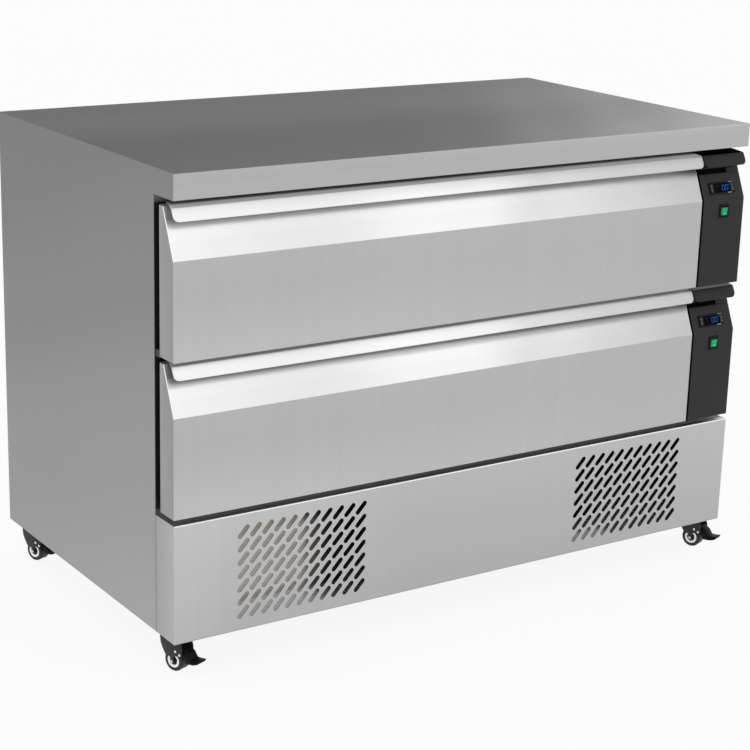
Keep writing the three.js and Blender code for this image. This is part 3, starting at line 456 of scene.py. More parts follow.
def flange_glow(share):
    """Light that reaches the front of a lip's flange under the piece above it."""
    def glow(g):
        _, y, _ = g.axes()
        return g.times(g.factors(y, [(-0.340, 0.24), (-0.326, 0.22), (-0.321, 0.10), (-0.317, 0.0)]), share)
    return glow


def body_tones(g):
    """Painted lining; its front face is painted dark, as shade in the gap behind the drawer fronts, and
    lighter near its top, as painted light.
    """
    _, y, z = g.axes()
    front = g.factors(y, [(-0.2815, 1.0), (-0.2805, 0.0)])
    high = g.factors(z, [(0.820, 0.0), (0.8235, 4.0)])
    return g.tint(g.ramp(y, [(-0.2815, 0.25), (-0.2805, 0.60)]), g.value("ADD", g.times(front, high), 1.0))


def body_glow(g):
    """Light on the front of the body in the gap above the plinth."""
    _, y, z = g.axes()
    low = g.factors(z, [(0.290, 0.045), (0.294, 0.0)])
    return g.times(g.factors(y, [(-0.2815, 1.0), (-0.2805, 0.0)]), low)


def lip_tones(g):
    """Painted reflection on slopes and lips: nearly white at the left, falling to a plain steel tone at the
    right.
    """
    x, _, _ = g.axes()
    return g.ramp(x, [(-0.65, 0.96), (-0.32, 0.915), (-0.17, 0.93), (-0.02, 0.90), (0.14, 0.81),
                      (0.32, 0.755), (0.52, 0.725)])


def below_top(g, level, z):
    """How far z lies below the top of a drawer's front."""
    return g.value("SUBTRACT", LEVELS[level][0] * MM, z)


def slope_tones(level, stops, narrowing):
    """The slope of one drawer, with a soft band of painted shade under its lip that is narrower at one end, a
    band of painted reflection just below it, and painted light that brightens its right part.
    """
    def tones(g):
        x, _, z = g.axes()
        drop = g.value("ADD", below_top(g, level, z), g.factors(x, narrowing))
        return g.tint(lip_tones(g), g.factors(x, [(0.05, 1.0), (0.30, 1.12)]),
                      g.factors(drop, stops + [(0.092, 1.0)]))
    return tones


def face_tones(level):
    """The upright face of one drawer, with painted light that makes it a little brighter at its lower left.
    """
    def tones(g):
        x, _, z = g.axes()
        low = g.factors(below_top(g, level, z), [(0.09, 0.1), (0.14, 0.0), (0.27, 1.0)])
        left = g.factors(x, [(-0.62, 1.0), (0.0, 0.6), (0.4, 0.2)])
        return g.tint(grey(0.72), g.value("ADD", g.times(g.times(low, left), 0.13), 1.0))
    return tones


# Painted light: the outer steels stand for one brushed steel, and their different tones, and the gradients
# that the functions above put into them, are painted light, shade and reflection, apart from the dark seam on
# the cheeks.
STEEL_PLINTH = brushed_steel("steel_plinth", plinth_tones, roughness=0.34, swing=0.025)
STEEL_TOP = brushed_steel("steel_top", worktop_tones, grain="X", roughness=0.36, swing=0.02, edge_tint=0.45)
# A lighter copy of the steel for the worktop's front and back edges, as painted light.
STEEL_EDGE = brushed_steel("steel_edge", 0.71, grain="X", roughness=0.36, swing=0.02)
STEEL_SIDE = brushed_steel("steel_side", side_tones, roughness=0.36, swing=0.02)
STEEL_LIP = brushed_steel("steel_lip", lip_tones, grain="X", roughness=0.30, swing=0.015)
# Painted shade under each lip and painted reflection just below it: factors by drop below the top, and how
# far the band is shifted along the drawer.
SLOPE_BANDS = {
    "upper": ([(0.024, 0.34), (0.029, 0.50), (0.035, 0.82), (0.043, 1.06), (0.052, 1.04), (0.062, 1.0)],
              [(0.05, 0.0), (0.40, 0.003)]),
    "lower": ([(0.027, 0.34), (0.032, 0.55), (0.041, 0.68), (0.049, 1.04), (0.058, 1.03), (0.068, 1.0)],
              [(-0.35, 0.003), (-0.15, 0.0)]),
}
STEEL_SLOPES = {
    level: brushed_steel(f"steel_{level}_slope", slope_tones(level, *band), roughness=0.30, swing=0.015)
    for level, band in SLOPE_BANDS.items()
}
STEEL_FRONTS = {level: brushed_steel(f"steel_{level}_front", face_tones(level), roughness=0.34)
                for level in LEVELS}
# Painted highlight for rounded folds and edges that catch the light.
STEEL_HIGHLIGHT = brushed_steel("steel_painted_highlight", 0.97, grain="X", roughness=0.30)
STEEL_BACK = brushed_steel("steel_back", 0.66, roughness=0.40)
STEEL_CHEEK = brushed_steel("steel_cheek", cheek_tones, roughness=0.36, swing=0.02)
# A darker copy of the steel for the ends of the drawer fronts, as painted shade.
STEEL_END = brushed_steel("steel_end", 0.60, roughness=0.36, swing=0.02)
STEEL_INSIDE = brushed_steel("steel_inside", 0.66, grain="X", roughness=0.30)
STEEL_SLIDE = brushed_steel("steel_slide", 0.62, grain="Y", roughness=0.28)
LINING = brushed_steel("lining", body_tones, grain="X", roughness=0.42, glow=body_glow)
# Dull copies of the steel for the flange tops and lip ends, with painted light given off by flange_glow; the
# lower one is darker and glows less, as painted shade.
FLANGE_TOPS = {
    level: brushed_steel(f"{level}_flange", tone, grain="X", roughness=0.50, metallic=0.0,
                         glow=flange_glow(share))
    for level, tone, share in (("upper", 0.52, 1.0), ("lower", 0.42, 0.45))
}
INNER_PANEL = plastic("inner_panel", 0.72, roughness=0.5, grain=120.0, swing=0.03)
SEAL = plastic("seal", 0.10, roughness=0.7, grain=500.0, shine=0.1)
PANEL = plastic("panel_plastic", 0.17, roughness=0.55, grain=900.0, swing=0.05, bump=0.05)
# Flange tops of the control strips' lips: the upper one is near-black plastic, as painted shade under the
# worktop; the lower one is grey with painted light given off by flange_glow.
PANEL_TOPS = {
    "upper": plastic("upper_panel_flange", 0.02, roughness=0.6, grain=900.0, shine=0.0),
    "lower": coloured("lower_panel_flange", (0.20, 0.20, 0.20), roughness=0.6, grain=900.0, shine=0.0,
                      emission=(1.0, 1.0, 1.0), strength=flange_glow(0.45)),
}
# Near-black plastic painted as the shade inside the finger slots and in the gap at the strips' left faces.
RECESS_SHADE = plastic("painted_recess_shade", 0.02, roughness=0.8, shine=0.05)
BEZEL = plastic("bezel", 0.04, roughness=0.35, grain=600.0, bump=0.02, shine=0.12)
KEYS = coloured("keys", (0.22, 0.25, 0.24), grain=600.0, swing=0.25, shine=0.2)
GLAND = plastic("gland", 0.10, roughness=0.5)
CASTER = coloured("caster_plastic", (0.06, 0.06, 0.08), roughness=0.42, grain=300.0, swing=0.2, shine=0.10)
# The forks' black plastic, painted lighter than the pedals' as the lit look of their cheeks.
CASTER_SHELL = plastic("caster_shell", 0.17, roughness=0.42, grain=500.0, shine=0.3)
TYRE = plastic("tyre", 0.17, roughness=0.5, grain=800.0, swing=0.12, shine=0.3)
# White hub rings with a faint painted glow that keeps them bright.
HUB = coloured("hub", (0.95, 0.95, 0.94), grain=300.0, swing=0.03, emission=(1.0, 1.0, 1.0), strength=0.22)
HUB_PLATE = plastic("hub_plate", 0.10, roughness=0.4, grain=300.0)
RIVET = coloured("rivet", (0.92, 0.92, 0.89), roughness=0.3, metallic=0.5)
NUT = coloured("nut", (0.75, 0.80, 0.86), roughness=0.25, metallic=0.9)
GLASS = coloured("display_glass", (0.004, 0.004, 0.008), roughness=0.25, grain=200.0, swing=0.3, shine=0.03)
DIGITS = coloured("display_digits", (0.0, 0.10, 0.20), emission=(0.04, 0.47, 0.92), strength=1.0, shine=0.0)
GREEN = coloured("green_lens", (0.04, 0.64, 0.38), roughness=0.30, grain=250.0, swing=0.2,
                 emission=(0.02, 0.55, 0.28), strength=0.25, shine=0.15)
LAMP_DOT = coloured("lamp_dot", (0.45, 0.85, 0.62), roughness=0.3, emission=(0.4, 0.9, 0.6), strength=0.25)
MARK = coloured("mark", (0.72, 0.75, 0.72))
# Dim grey-green for the printed key arrows, and for a painted highlight along the top of the thermostat's
# frame.
PRINT_AND_GLINT = coloured("dim_print_and_glint", (0.42, 0.47, 0.45))
COMPRESSOR = plastic("compressor_shell", 0.07, roughness=0.35, grain=200.0)
FIN_SHADED = coloured("fin_shaded", (0.80, 0.775, 0.75), roughness=0.6, grain=250.0, swing=0.15, shine=0.1,
                      emission=(1.0, 0.955, 0.92), strength=fin_glow, painted_shade=fin_tones)
BASE_PAN = brushed_steel("base_pan", 0.66, grain="X", roughness=0.5, metallic=0.1, glow=pan_glow)
COPPER = coloured("copper", (0.72, 0.46, 0.34), roughness=0.35, metallic=0.9)
COLD_FIN = coloured("cold_fin", (0.74, 0.75, 0.76), metallic=0.8)
FAN = plastic("fan_plastic", 0.12)

CAD_MATERIALS = {
    "back_panel": STEEL_BACK,
    "insulated_body": LINING,
    "base_tray": BASE_PAN,
    "cable_gland": GLAND,
}
for side in ("left", "right"):
    CAD_MATERIALS[f"{side}_side_panel"] = STEEL_SIDE
    CAD_MATERIALS[f"plinth_{side}_cheek"] = STEEL_CHEEK
    CAD_MATERIALS[f"{side}_compressor"] = COMPRESSOR
    CAD_MATERIALS[f"{side}_condenser_fan"] = FAN
for level in LEVELS:
    CAD_MATERIALS[f"{level}_drawer_inner_panel"] = INNER_PANEL
    CAD_MATERIALS[f"{level}_drawer_gasket"] = SEAL
    CAD_MATERIALS[f"{level}_drawer_box"] = STEEL_INSIDE
    CAD_MATERIALS[f"{level}_switch_body"] = BEZEL
    CAD_MATERIALS[f"{level}_evaporator"] = COLD_FIN
    CAD_MATERIALS[f"{level}_evaporator_fan"] = FAN
    for side in ("left", "right"):
        CAD_MATERIALS[f"{level}_{side}_slide_rail"] = STEEL_SLIDE
        CAD_MATERIALS[f"{level}_{side}_slide_middle"] = STEEL_SLIDE
for node, material in CAD_MATERIALS.items():
    NODES[node].data.materials.clear()
    NODES[node].data.materials.append(material)


# Worktop
def build_worktop():
    bm = bmesh.new()
    outline = [(FRONT, WORKTOP_BOTTOM), (FRONT, WORKTOP_TOP), (BACK, WORKTOP_TOP), (BACK, WORKTOP_BOTTOM)]
    add_prism(bm, fillet(outline, [0.6, 1.6, 1.6, 0.6], 3), "X", (LEFT, RIGHT))
    for vert in bm.verts:
        if vert.co.z > WORKTOP_TOP - 0.1:
            vert.co.x -= math.copysign(WORKTOP_ENDS_DRAWN_IN, vert.co.x)
    top = finish_mesh("worktop_skin", bm, STEEL_TOP, "cabinet", ["worktop"])
    paint(top, [STEEL_EDGE, STEEL_SIDE], lambda n: 0 if n.z > 0.6 else 2 if abs(n.x) > 0.7 else 1)


# Drawer fronts and control strips
def slope_y(drop):
    """Where the slope of a front lies, that far below its top."""
    return FRONT + SLOPE_SETBACK * (1 - drop / SLOPE_HEIGHT)


def lip_section(top, depth, shorten):
    """The lip's section from its flange to its lower hem; shorten takes that much off the lower end."""
    slant = Vector((-LIP_LEAN, LIP_FALL - LIP_HEIGHT))
    lean = slant.normalized()
    outer = Vector((FRONT + LIP_LEAN, top - LIP_FALL))
    end = outer + lean * (slant.length - shorten)
    corners = [
        (FRONT + depth, top),
        (FRONT + SLOPE_SETBACK, top),
        outer,
        end,
        end + Vector((-lean.y, lean.x)) * LIP_SHEET,
        outer + Vector((HEM, -HEM)),
        (FRONT + SLOPE_SETBACK, top - HEM),
        (FRONT + depth, top - HEM),
    ]
    return fillet(corners, [0, 0, 2.2, 1.2, 1.2, 1.2, 0, 0], 4)


def add_lip(bm, top, span, depth, ends=(0.0, 0.0)):
    """Adds a lip; ends gives how far the back of its flange is drawn in at the left and at the right."""
    steps = 6
    stations = []
    for k in range(steps + 1):
        angle = math.pi / 2 * k / steps
        stations.append((LIP_CORNER * (1 - math.cos(angle)), LIP_CORNER * (1 - math.sin(angle))))
    stations.append((LIP_TAPER_REACH, 0.0))
    places = [(span[0], 1, *station, ends[0]) for station in stations]
    places += [(span[1], -1, *station, ends[1]) for station in reversed(stations)]
    rings = []
    for end_x, inwards, distance, shorten, drawn_in in places:
        ring = []
        for y, z in lip_section(top, depth, shorten):
            back = min(1.0, max(0.0, (y - FRONT - LIP_LEAN) / (SLOPE_SETBACK - LIP_LEAN)))
            moved_in = distance + drawn_in * back * (1 - distance / LIP_TAPER_REACH)
            ring.append(bm.verts.new((end_x + inwards * moved_in, y, z)))
        rings.append(ring)
    for ring, other in zip(rings, rings[1:]):
        bridge(bm, ring, other)
    bm.faces.new(rings[0][::-1])
    bm.faces.new(rings[-1])


def of_flange(normal):
    """Whether a face of a lip belongs to its flange or to its hidden inner side."""
    return normal.z > 0.9 or normal.z < -0.85 or normal.y > 0.3


def front_material(normal):
    """1 is the slope, 2 an end, which takes painted shade, and 3 the rounding beside the slope, which takes a
    painted highlight.
    """
    if abs(normal.x) > 0.95 or (abs(normal.x) > 0.2 and normal.y > -0.3):
        return 2
    if abs(normal.x) > 0.2:
        return 3 if normal.z > 0.1 else 0
    return 1 if normal.z > 0.25 and normal.y < -0.5 else 0


def build_drawer_front(level):
    top, bottom = LEVELS[level]
    back = FRONT + FRONT_DEPTH - 0.2
    drop = HEM + 0.3
    outline = [(back, top - drop), (slope_y(drop), top - drop), (FRONT, top - SLOPE_HEIGHT), (FRONT, bottom),
               (back, bottom)]
    bm = bmesh.new()
    add_prism(bm, fillet(outline, [0, 1.5, 3.0, 1.5, 0], 4), "X", (LEFT, FRONT_RIGHT), 1.1)
    skin = finish_mesh(f"{level}_front_skin", bm, STEEL_FRONTS[level], f"{level}_drawer",
                       [f"{level}_drawer_front"], smooth_angle=25)
    paint(skin, [STEEL_SLOPES[level], STEEL_END, STEEL_HIGHLIGHT], front_material)
    bm = bmesh.new()
    add_lip(bm, top, (LEFT + LIP_INSET, FRONT_RIGHT), FRONT_DEPTH, (LIP_END_DRAWN_IN, 0.0))
    lip = finish_mesh(f"{level}_handle_lip", bm, STEEL_LIP, f"{level}_drawer")
    # The flange and the lip's ends take the flange material; the fold at the top of the lip takes a painted
    # highlight.
    paint(lip, [FLANGE_TOPS[level], STEEL_HIGHLIGHT],
          lambda n: 1 if of_flange(n) or abs(n.x) > 0.95 else 2 if n.z > 0.6 else 0)


def sink_pocket(bm, centre_x, centre_z, half, depth):
    """Sinks a square pocket into the largest face that looks forward."""
    front = max((face for face in bm.faces if face.normal.y < -0.999), key=lambda face: face.calc_area())
    rim = {(vert.co.x > centre_x, vert.co.z > centre_z): vert for vert in front.verts}
    bmesh.ops.delete(bm, geom=[front], context="FACES_ONLY")
    square = rounded(centre_x - half, centre_x + half, centre_z - half, centre_z + half, 0)
    mouth, floor = [[bm.verts.new((x, y, z)) for x, z in square] for y in (FRONT, FRONT + depth)]
    bridge(bm, [rim[False, False], rim[True, False], rim[True, True], rim[False, True]], mouth)
    bridge(bm, mouth, floor)
    bm.faces.new(floor)


def build_control_panel(level):
    top, bottom = LEVELS[level]
    back = FRONT + STRIP_DEPTH
    above, below = [top - drop for drop in FINGER_SLOT]
    above_y, below_y = [slope_y(drop) for drop in FINGER_SLOT]
    upper = [(back, top - HEM), (slope_y(HEM), top - HEM), (above_y, above), (back, above)]
    lower = [(back, below), (below_y, below), (FRONT, top - SLOPE_HEIGHT), (FRONT, bottom), (back, bottom)]
    bm = bmesh.new()
    add_prism(bm, upper, "X", (STRIP_LEFT, RIGHT))
    add_prism(bm, fillet(lower, [0, 0, 2.5, 1.5, 0], 4), "X", (STRIP_LEFT, RIGHT))
    sink_pocket(bm, SWITCH_X, top - SWITCH_DROP, *SWITCH_POCKET)
    add_prism(bm, [(back, above), (above_y, above), (below_y, below), (back, below)], "X",
              (FINGER_SLOT_RIGHT, RIGHT))
    panel = finish_mesh(f"{level}_panel_shell", bm, PANEL, "cabinet", [f"{level}_control_panel"],
                        smooth_angle=25)
    # The strip's left face is painted near-black, as the shade in the gap beside the drawer front.
    paint(panel, [RECESS_SHADE], lambda n: int(n.x < -0.9))
    round_edges(panel, 1.2, angle=60)
    # A near-black block a little inside the finger slot, painted as the shade in it.
    bm = bmesh.new()
    inset, overlap = 5.0, 1.0
    add_prism(bm, [(back - overlap, above + overlap), (above_y + inset, above + overlap),
                   (below_y + inset, below - overlap), (back - overlap, below - overlap)],
              "X", (STRIP_LEFT + 1.5, RIGHT - 4))
    finish_mesh(f"{level}_panel_slot", bm, RECESS_SHADE, "cabinet")
    bm = bmesh.new()
    add_lip(bm, top, (STRIP_LEFT, RIGHT), STRIP_DEPTH)
    lip = finish_mesh(f"{level}_panel_lip", bm, PANEL, "cabinet")
    paint(lip, [PANEL_TOPS[level]], lambda n: int(of_flange(n)))


# Thermostats, in local coordinates: X to the right, Y into the slope and Z up along it
PLATE, BEZEL_FACE = -0.8, -2.7
BEZEL_HALF = (31.5, 11.5)
WINDOW = (-20.0, 21.0, -8.5, 8.5)
KEY_SPANS = {"left": (-29.5, -23.5), "right": (23.0, 29.5)}
KEY_HALF, KEY_FACE = 8.0, BEZEL_FACE - 0.8
DIGIT_CENTRES, DIGIT_SIZE, DIGIT_STROKE = (3.6, 12.4), (6.6, 10.4), 0.75
DIGIT_SLANT, DIGIT_GAP = 0.12, 0.25
DIGIT_SPAN = (-2.64, -2.46)
MARK_SPAN = (BEZEL_FACE - 0.05, BEZEL_FACE + 0.2)


def digit_zero(bm, centre_x):
    """A seven-part zero in local X and Z, slanted a little like a display's digits."""
    def bar(points):
        add_flat(bm, [(centre_x + x + DIGIT_SLANT * z, z) for x, z in points], DIGIT_SPAN)

    w, h = DIGIT_SIZE[0] / 2, DIGIT_SIZE[1] / 2
    s, gap = DIGIT_STROKE, DIGIT_GAP
    bar([(-w + gap, h - s), (-w + s, h), (w - s, h), (w - gap, h - s)])
    bar([(-w + gap, -h + s), (w - gap, -h + s), (w - s, -h), (-w + s, -h)])
    for side in (-1, 1):
        x_out, x_in = side * w, side * (w - s)
        bar([(x_out, gap), (x_in, gap), (x_in, h - s - gap), (x_out, h - s)])
        bar([(x_out, -gap), (x_in, -gap), (x_in, -h + s + gap), (x_out, -h + s)])


def build_thermostat(level):
    matrix = shift(THERMOSTAT_X, slope_y(THERMOSTAT_DROP), LEVELS[level][0] - THERMOSTAT_DROP)
    matrix = matrix @ Matrix.Rotation(-SLOPE_ANGLE, 4, "X")
    half_w, half_h = BEZEL_HALF
    left, right, low, high = WINDOW
    left_key, right_key = KEY_SPANS.values()
    bm = bmesh.new()
    add_flat(bm, rounded(-half_w, half_w, -half_h, half_h, 2.0), (PLATE, -0.3), 0.15, 1)
    add_flat(bm, rounded(-28.5, 28.5, -8.5, 8.5, 1.0), (-0.4, 25.0))
    posts = [(-half_w, left_key[0] - 0.4), (right_key[1] + 0.4, half_w), (left_key[1] + 0.4, left - 0.2),
             (right + 0.2, right_key[0] - 0.4)]
    for sides in [(-half_w, half_w, high + 0.3, half_h), (-half_w, half_w, -half_h, low - 0.3)] + [
            (*post, low - 0.6, high + 0.6) for post in posts]:
        add_flat(bm, rounded(*sides, 0), (BEZEL_FACE, PLATE + 0.2), 0.3, 1)
    finish_mesh(f"{level}_thermostat_bezel", bm, BEZEL, "cabinet", [f"{level}_thermostat"],
                matrix=matrix)
    bm = bmesh.new()
    add_flat(bm, rounded(*WINDOW, 0.8), (BEZEL_FACE + 0.1, PLATE + 0.1), 0.15, 1)
    finish_mesh(f"{level}_display_window", bm, GLASS, "cabinet", matrix=matrix)
    bm = bmesh.new()
    for centre_x in DIGIT_CENTRES:
        digit_zero(bm, centre_x)
    add_flat(bm, rounded(17.6, 19.0, 4.4, 5.8, 0.6), DIGIT_SPAN)
    add_flat(bm, rounded(-13.4, -12.0, 3.4, 4.8, 0.65), DIGIT_SPAN)
    finish_mesh(f"{level}_display_digits", bm, DIGITS, "cabinet", matrix=matrix)
    # A light mark along the bezel's lower edge, and a painted highlight along the top of its frame.
    for name, outline, material in (("mark", rounded(12.5, 23.0, -11.0, -9.9, 0.5), MARK),
                                    ("glint", rounded(17.5, 29.5, 9.4, 11.0, 0.7), PRINT_AND_GLINT)):
        bm = bmesh.new()
        add_flat(bm, outline, MARK_SPAN)
        finish_mesh(f"{level}_thermostat_{name}", bm, material, "cabinet",
                    matrix=matrix)
    for side, (x0, x1) in KEY_SPANS.items():
        bm = bmesh.new()
        add_flat(bm, rounded(x0, x1, -KEY_HALF, KEY_HALF, 1.4), (KEY_FACE + 0.5, KEY_FACE + 1.4), 0.2, 1)
        for z in (-4, 4):
            add_flat(bm, rounded(x0 + 0.6, x1 - 0.6, z - 3.2, z + 3.2, 1.2),
                     (KEY_FACE + 0.05, KEY_FACE + 0.6), 0.25)
        finish_mesh(f"{level}_{side}_key_pads", bm, KEYS, f"{level}_{side}_key_strip",
                    [f"{level}_{side}_keys"], matrix=matrix)
        bm = bmesh.new()
        middle = (x0 + x1) / 2
        for z, turn in ((-4, -1), (4, 1)):
            foot, tip = z - turn * 0.8, z + turn * 1.2
            add_flat(bm, [(middle - 1.4, foot), (middle + 1.4, foot), (middle, tip)],
                     (KEY_FACE, KEY_FACE + 0.15))
        finish_mesh(f"{level}_{side}_key_marks", bm, PRINT_AND_GLINT, f"{level}_{side}_key_strip",
                    matrix=matrix)


def build_rocker(level):
    """The rocker's lens with a hollow face, at the tilt it has at rest."""
    matrix = shift(SWITCH_X, FRONT, LEVELS[level][0] - SWITCH_DROP) @ Matrix.Rotation(ROCKER_REST, 4, "X")
    half_w, half_h = 7.2, 7.3
    face, dip, depth, steps = -4.0, 1.4, 8.0, 8
    outline = []
    for k in range(steps + 1):
        t = -1 + 2 * k / steps
        outline.append((face + dip * (1 - t * t), -t * half_h))
    outline += [(depth / 2, -half_h + 1.2), (depth, 0.0), (depth / 2, half_h - 1.2)]
    bm = bmesh.new()
    add_prism(bm, outline, "X", (-half_w, half_w), 0.5)
    finish_mesh(f"{level}_rocker_lens", bm, GREEN, f"{level}_rocker", [f"{level}_power_rocker"],
                matrix=matrix)
    bm = bmesh.new()
    add_turned(bm, [(0, 0), (1.6, 0), (1.6, 0.5), (0, 0.7)], shift(0, face + 0.85, -4.4) @ TO_Y, 20)
    finish_mesh(f"{level}_rocker_lamp", bm, LAMP_DOT, f"{level}_rocker", matrix=matrix)
    soften(f"{level}_switch_body", 0.5)


# Condensers, with fine fins, end plates, copper tubes and a fan shroud
def build_condenser(unit):
    name = f"{unit}_condenser"
    x, coil_y = CONDENSERS[unit]
    half, height, depth, bottom = 125.0, 134.0, 45.0, 70.3
    fins, fin_thickness, plate, rows = 96, 0.6, 1.5, 6
    bm = bmesh.new()
    for i in range(fins):
        fin_x = x - half + 3 + (2 * half - 6) * i / (fins - 1)
        add_box(bm, (fin_x - fin_thickness / 2, fin_x + fin_thickness / 2), (coil_y, coil_y + depth - 4),
                (bottom + 2, bottom + height - 2))
    # The left fins carry painted light and shade; the right fins take the near-black compressor plastic, as
    # painted shade where little light reaches them.
    fin = FIN_SHADED if unit == "left" else COMPRESSOR
    finish_mesh(f"{name}_fins", bm, fin, "cabinet", [name])
    bm = bmesh.new()
    for side in (-1, 1):
        add_box(bm, sorted((x + side * half, x + side * (half - plate))), (coil_y, coil_y + depth),
                (bottom, bottom + height))
    add_box(bm, (x - half, x + half), (coil_y + depth - 4, coil_y + depth - 4 + plate),
            (bottom + 118, bottom + height))
    finish_mesh(f"{name}_plates", bm, STEEL_SLIDE, "cabinet")
    bm = bmesh.new()
    for row in range(rows):
        z = bottom + 12 + (height - 24) * row / (rows - 1)
        for y in (coil_y + 11, coil_y + 29):
            add_rod(bm, 3.2, (-half + 0.2, half - 0.2), shift(x, y, z) @ TO_X, 12)
    finish_mesh(f"{name}_tubes", bm, COPPER, "cabinet")
    bm = bmesh.new()
    add_fan_frame(bm, x, coil_y + depth + 14.5, bottom + 64, 56.0)
    finish_mesh(f"{name}_shroud", bm, FAN, "cabinet")


def add_fan_frame(bm, x, y, z, radius):
    """A square frame with a round opening, two crossing struts, a motor and its spindle."""
    half, thickness, steps = radius + 8, 30.0, 48
    rings = []
    for w in (y - thickness / 2, y + thickness / 2):
        inner, outer = [], []
        for i in range(steps):
            angle = 2 * math.pi * (i + 0.5) / steps
            cos, sin = math.cos(angle), math.sin(angle)
            reach = half / max(abs(cos), abs(sin))
            inner.append(bm.verts.new((x + radius * cos, w, z + radius * sin)))
            outer.append(bm.verts.new((x + reach * cos, w, z + reach * sin)))
        rings += [inner, outer]
    for ring, other in ((0, 1), (1, 3), (3, 2), (2, 0)):
        bridge(bm, rings[ring], rings[other])
    add_box(bm, (x - radius - 3, x + radius + 3), (y + 3, y + 15), (z - 4, z + 4))
    add_box(bm, (x - 4, x + 4), (y + 3, y + 15), (z - radius - 3, z + radius + 3))
    at_motor = shift(x, y + 3, z) @ TO_Y
    add_turned(bm, [(0, -12), (17, -12), (19, -10), (19, 0), (0, 0)], at_motor, 32)
    add_rod(bm, 4, (0, 18), at_motor, 16)


# Casters. Local X is the axle, local -Y is where the pedal reaches, and the floor is local z = 0.
AXLE_Y, AXLE_Z = -9.0, 20.0
WHEEL_RADIUS, WHEEL_HALF, WHEEL_BORE = 20.0, 12.0, 3.3
SHOULDER = 4.0
FORK_INNER, FORK_OUTER = 13.2, 15.7
CROWN_BOTTOM, CHEEK_TOP, CROWN_TOP = 58.0, 64.0, 67.7
PEDAL_HALF, PEDAL_RIM = 10.2, 1.6
RIVETS = ((-17.1, 40.2), (-26.4, 35.8))
SPOKES, SPOKE_TURN = 5, 0.3


def shoulder(side):
    """Points of a rounded tyre shoulder, from face to tread at one side and back at the other."""
    steps = 6
    points = []
    for k in range(steps + 1):
        angle = math.pi / 2 * k / steps
        out, up = (math.sin(angle), math.cos(angle)) if side < 0 else (math.cos(angle), math.sin(angle))
        points.append((WHEEL_RADIUS - SHOULDER + SHOULDER * out,
                       side * (WHEEL_HALF - SHOULDER + SHOULDER * up)))
    return points


def build_fork(name, matrix):
    bm = bmesh.new()
    cheek = [(18, CHEEK_TOP), (16.5, 50), (12, 40), (4.5, 28), (-3.5, 28), (-5.5, 26), (-5.5, 17), (-9, 15.4),
             (-12.5, 17), (-12.5, 28), (-17, 32), (-28, 32), (-32, 38), (-32, 46), (-26, CHEEK_TOP)]
    radii = [1.5, 8, 8, 3, 1.5, 1.5, 2.5, 2.5, 2.5, 3, 4, 4, 4, 4, 1.5]
    for span in ((-FORK_OUTER, -FORK_INNER), (FORK_INNER, FORK_OUTER)):
        add_prism(bm, fillet(cheek, radii, 3), "X", span, 0.7)
    add_box(bm, (-FORK_OUTER, FORK_OUTER), (-20, 18), (CROWN_BOTTOM, CHEEK_TOP), 1.5, 3)
    add_turned(bm, [(0, CROWN_BOTTOM), (12, CROWN_BOTTOM), (12, 65), (11.6, 65.6), (11.6, CROWN_TOP - 0.5),
                    (11.0, CROWN_TOP), (0, CROWN_TOP)], Matrix.Identity(4), 40)
    stem_top = CROWN_TOP + 14
    add_turned(bm, [(0, CROWN_TOP), (5, CROWN_TOP), (5, stem_top - 0.8), (4.2, stem_top), (0, stem_top)],
               Matrix.Identity(4), 24)
    add_rod(bm, 3, (-FORK_OUTER + 0.3, FORK_OUTER - 0.3), shift(0, AXLE_Y, AXLE_Z) @ TO_X, 24)
    finish_mesh(f"{name}_fork_shell", bm, CASTER_SHELL, f"{name}_fork", [f"{name}_caster_fork"],
                matrix=matrix)
    outwards = [(side, Matrix.Rotation(side * math.pi / 2, 4, "Y")) for side in (-1, 1)]
    bm = bmesh.new()
    for side, outward in outwards:
        for y, z in RIVETS:
            add_turned(bm, [(0, 0.3), (2.0, 0.25), (2.7, -0.2), (2.7, -1.2), (0, -1.2)],
                       shift(side * FORK_OUTER, y, z) @ outward, 20)
    finish_mesh(f"{name}_rivets", bm, RIVET, f"{name}_fork", matrix=matrix)
    bm = bmesh.new()
    for side, outward in outwards:
        add_turned(bm, [(0, 1.6), (1.6, 1.5), (3.0, 0.9), (3.2, 0), (3.2, -0.6), (0, -0.6)],
                   shift(side * (FORK_OUTER - 0.2), AXLE_Y, AXLE_Z) @ outward, 6)
    finish_mesh(f"{name}_axle_nuts", bm, NUT, f"{name}_fork", matrix=matrix)


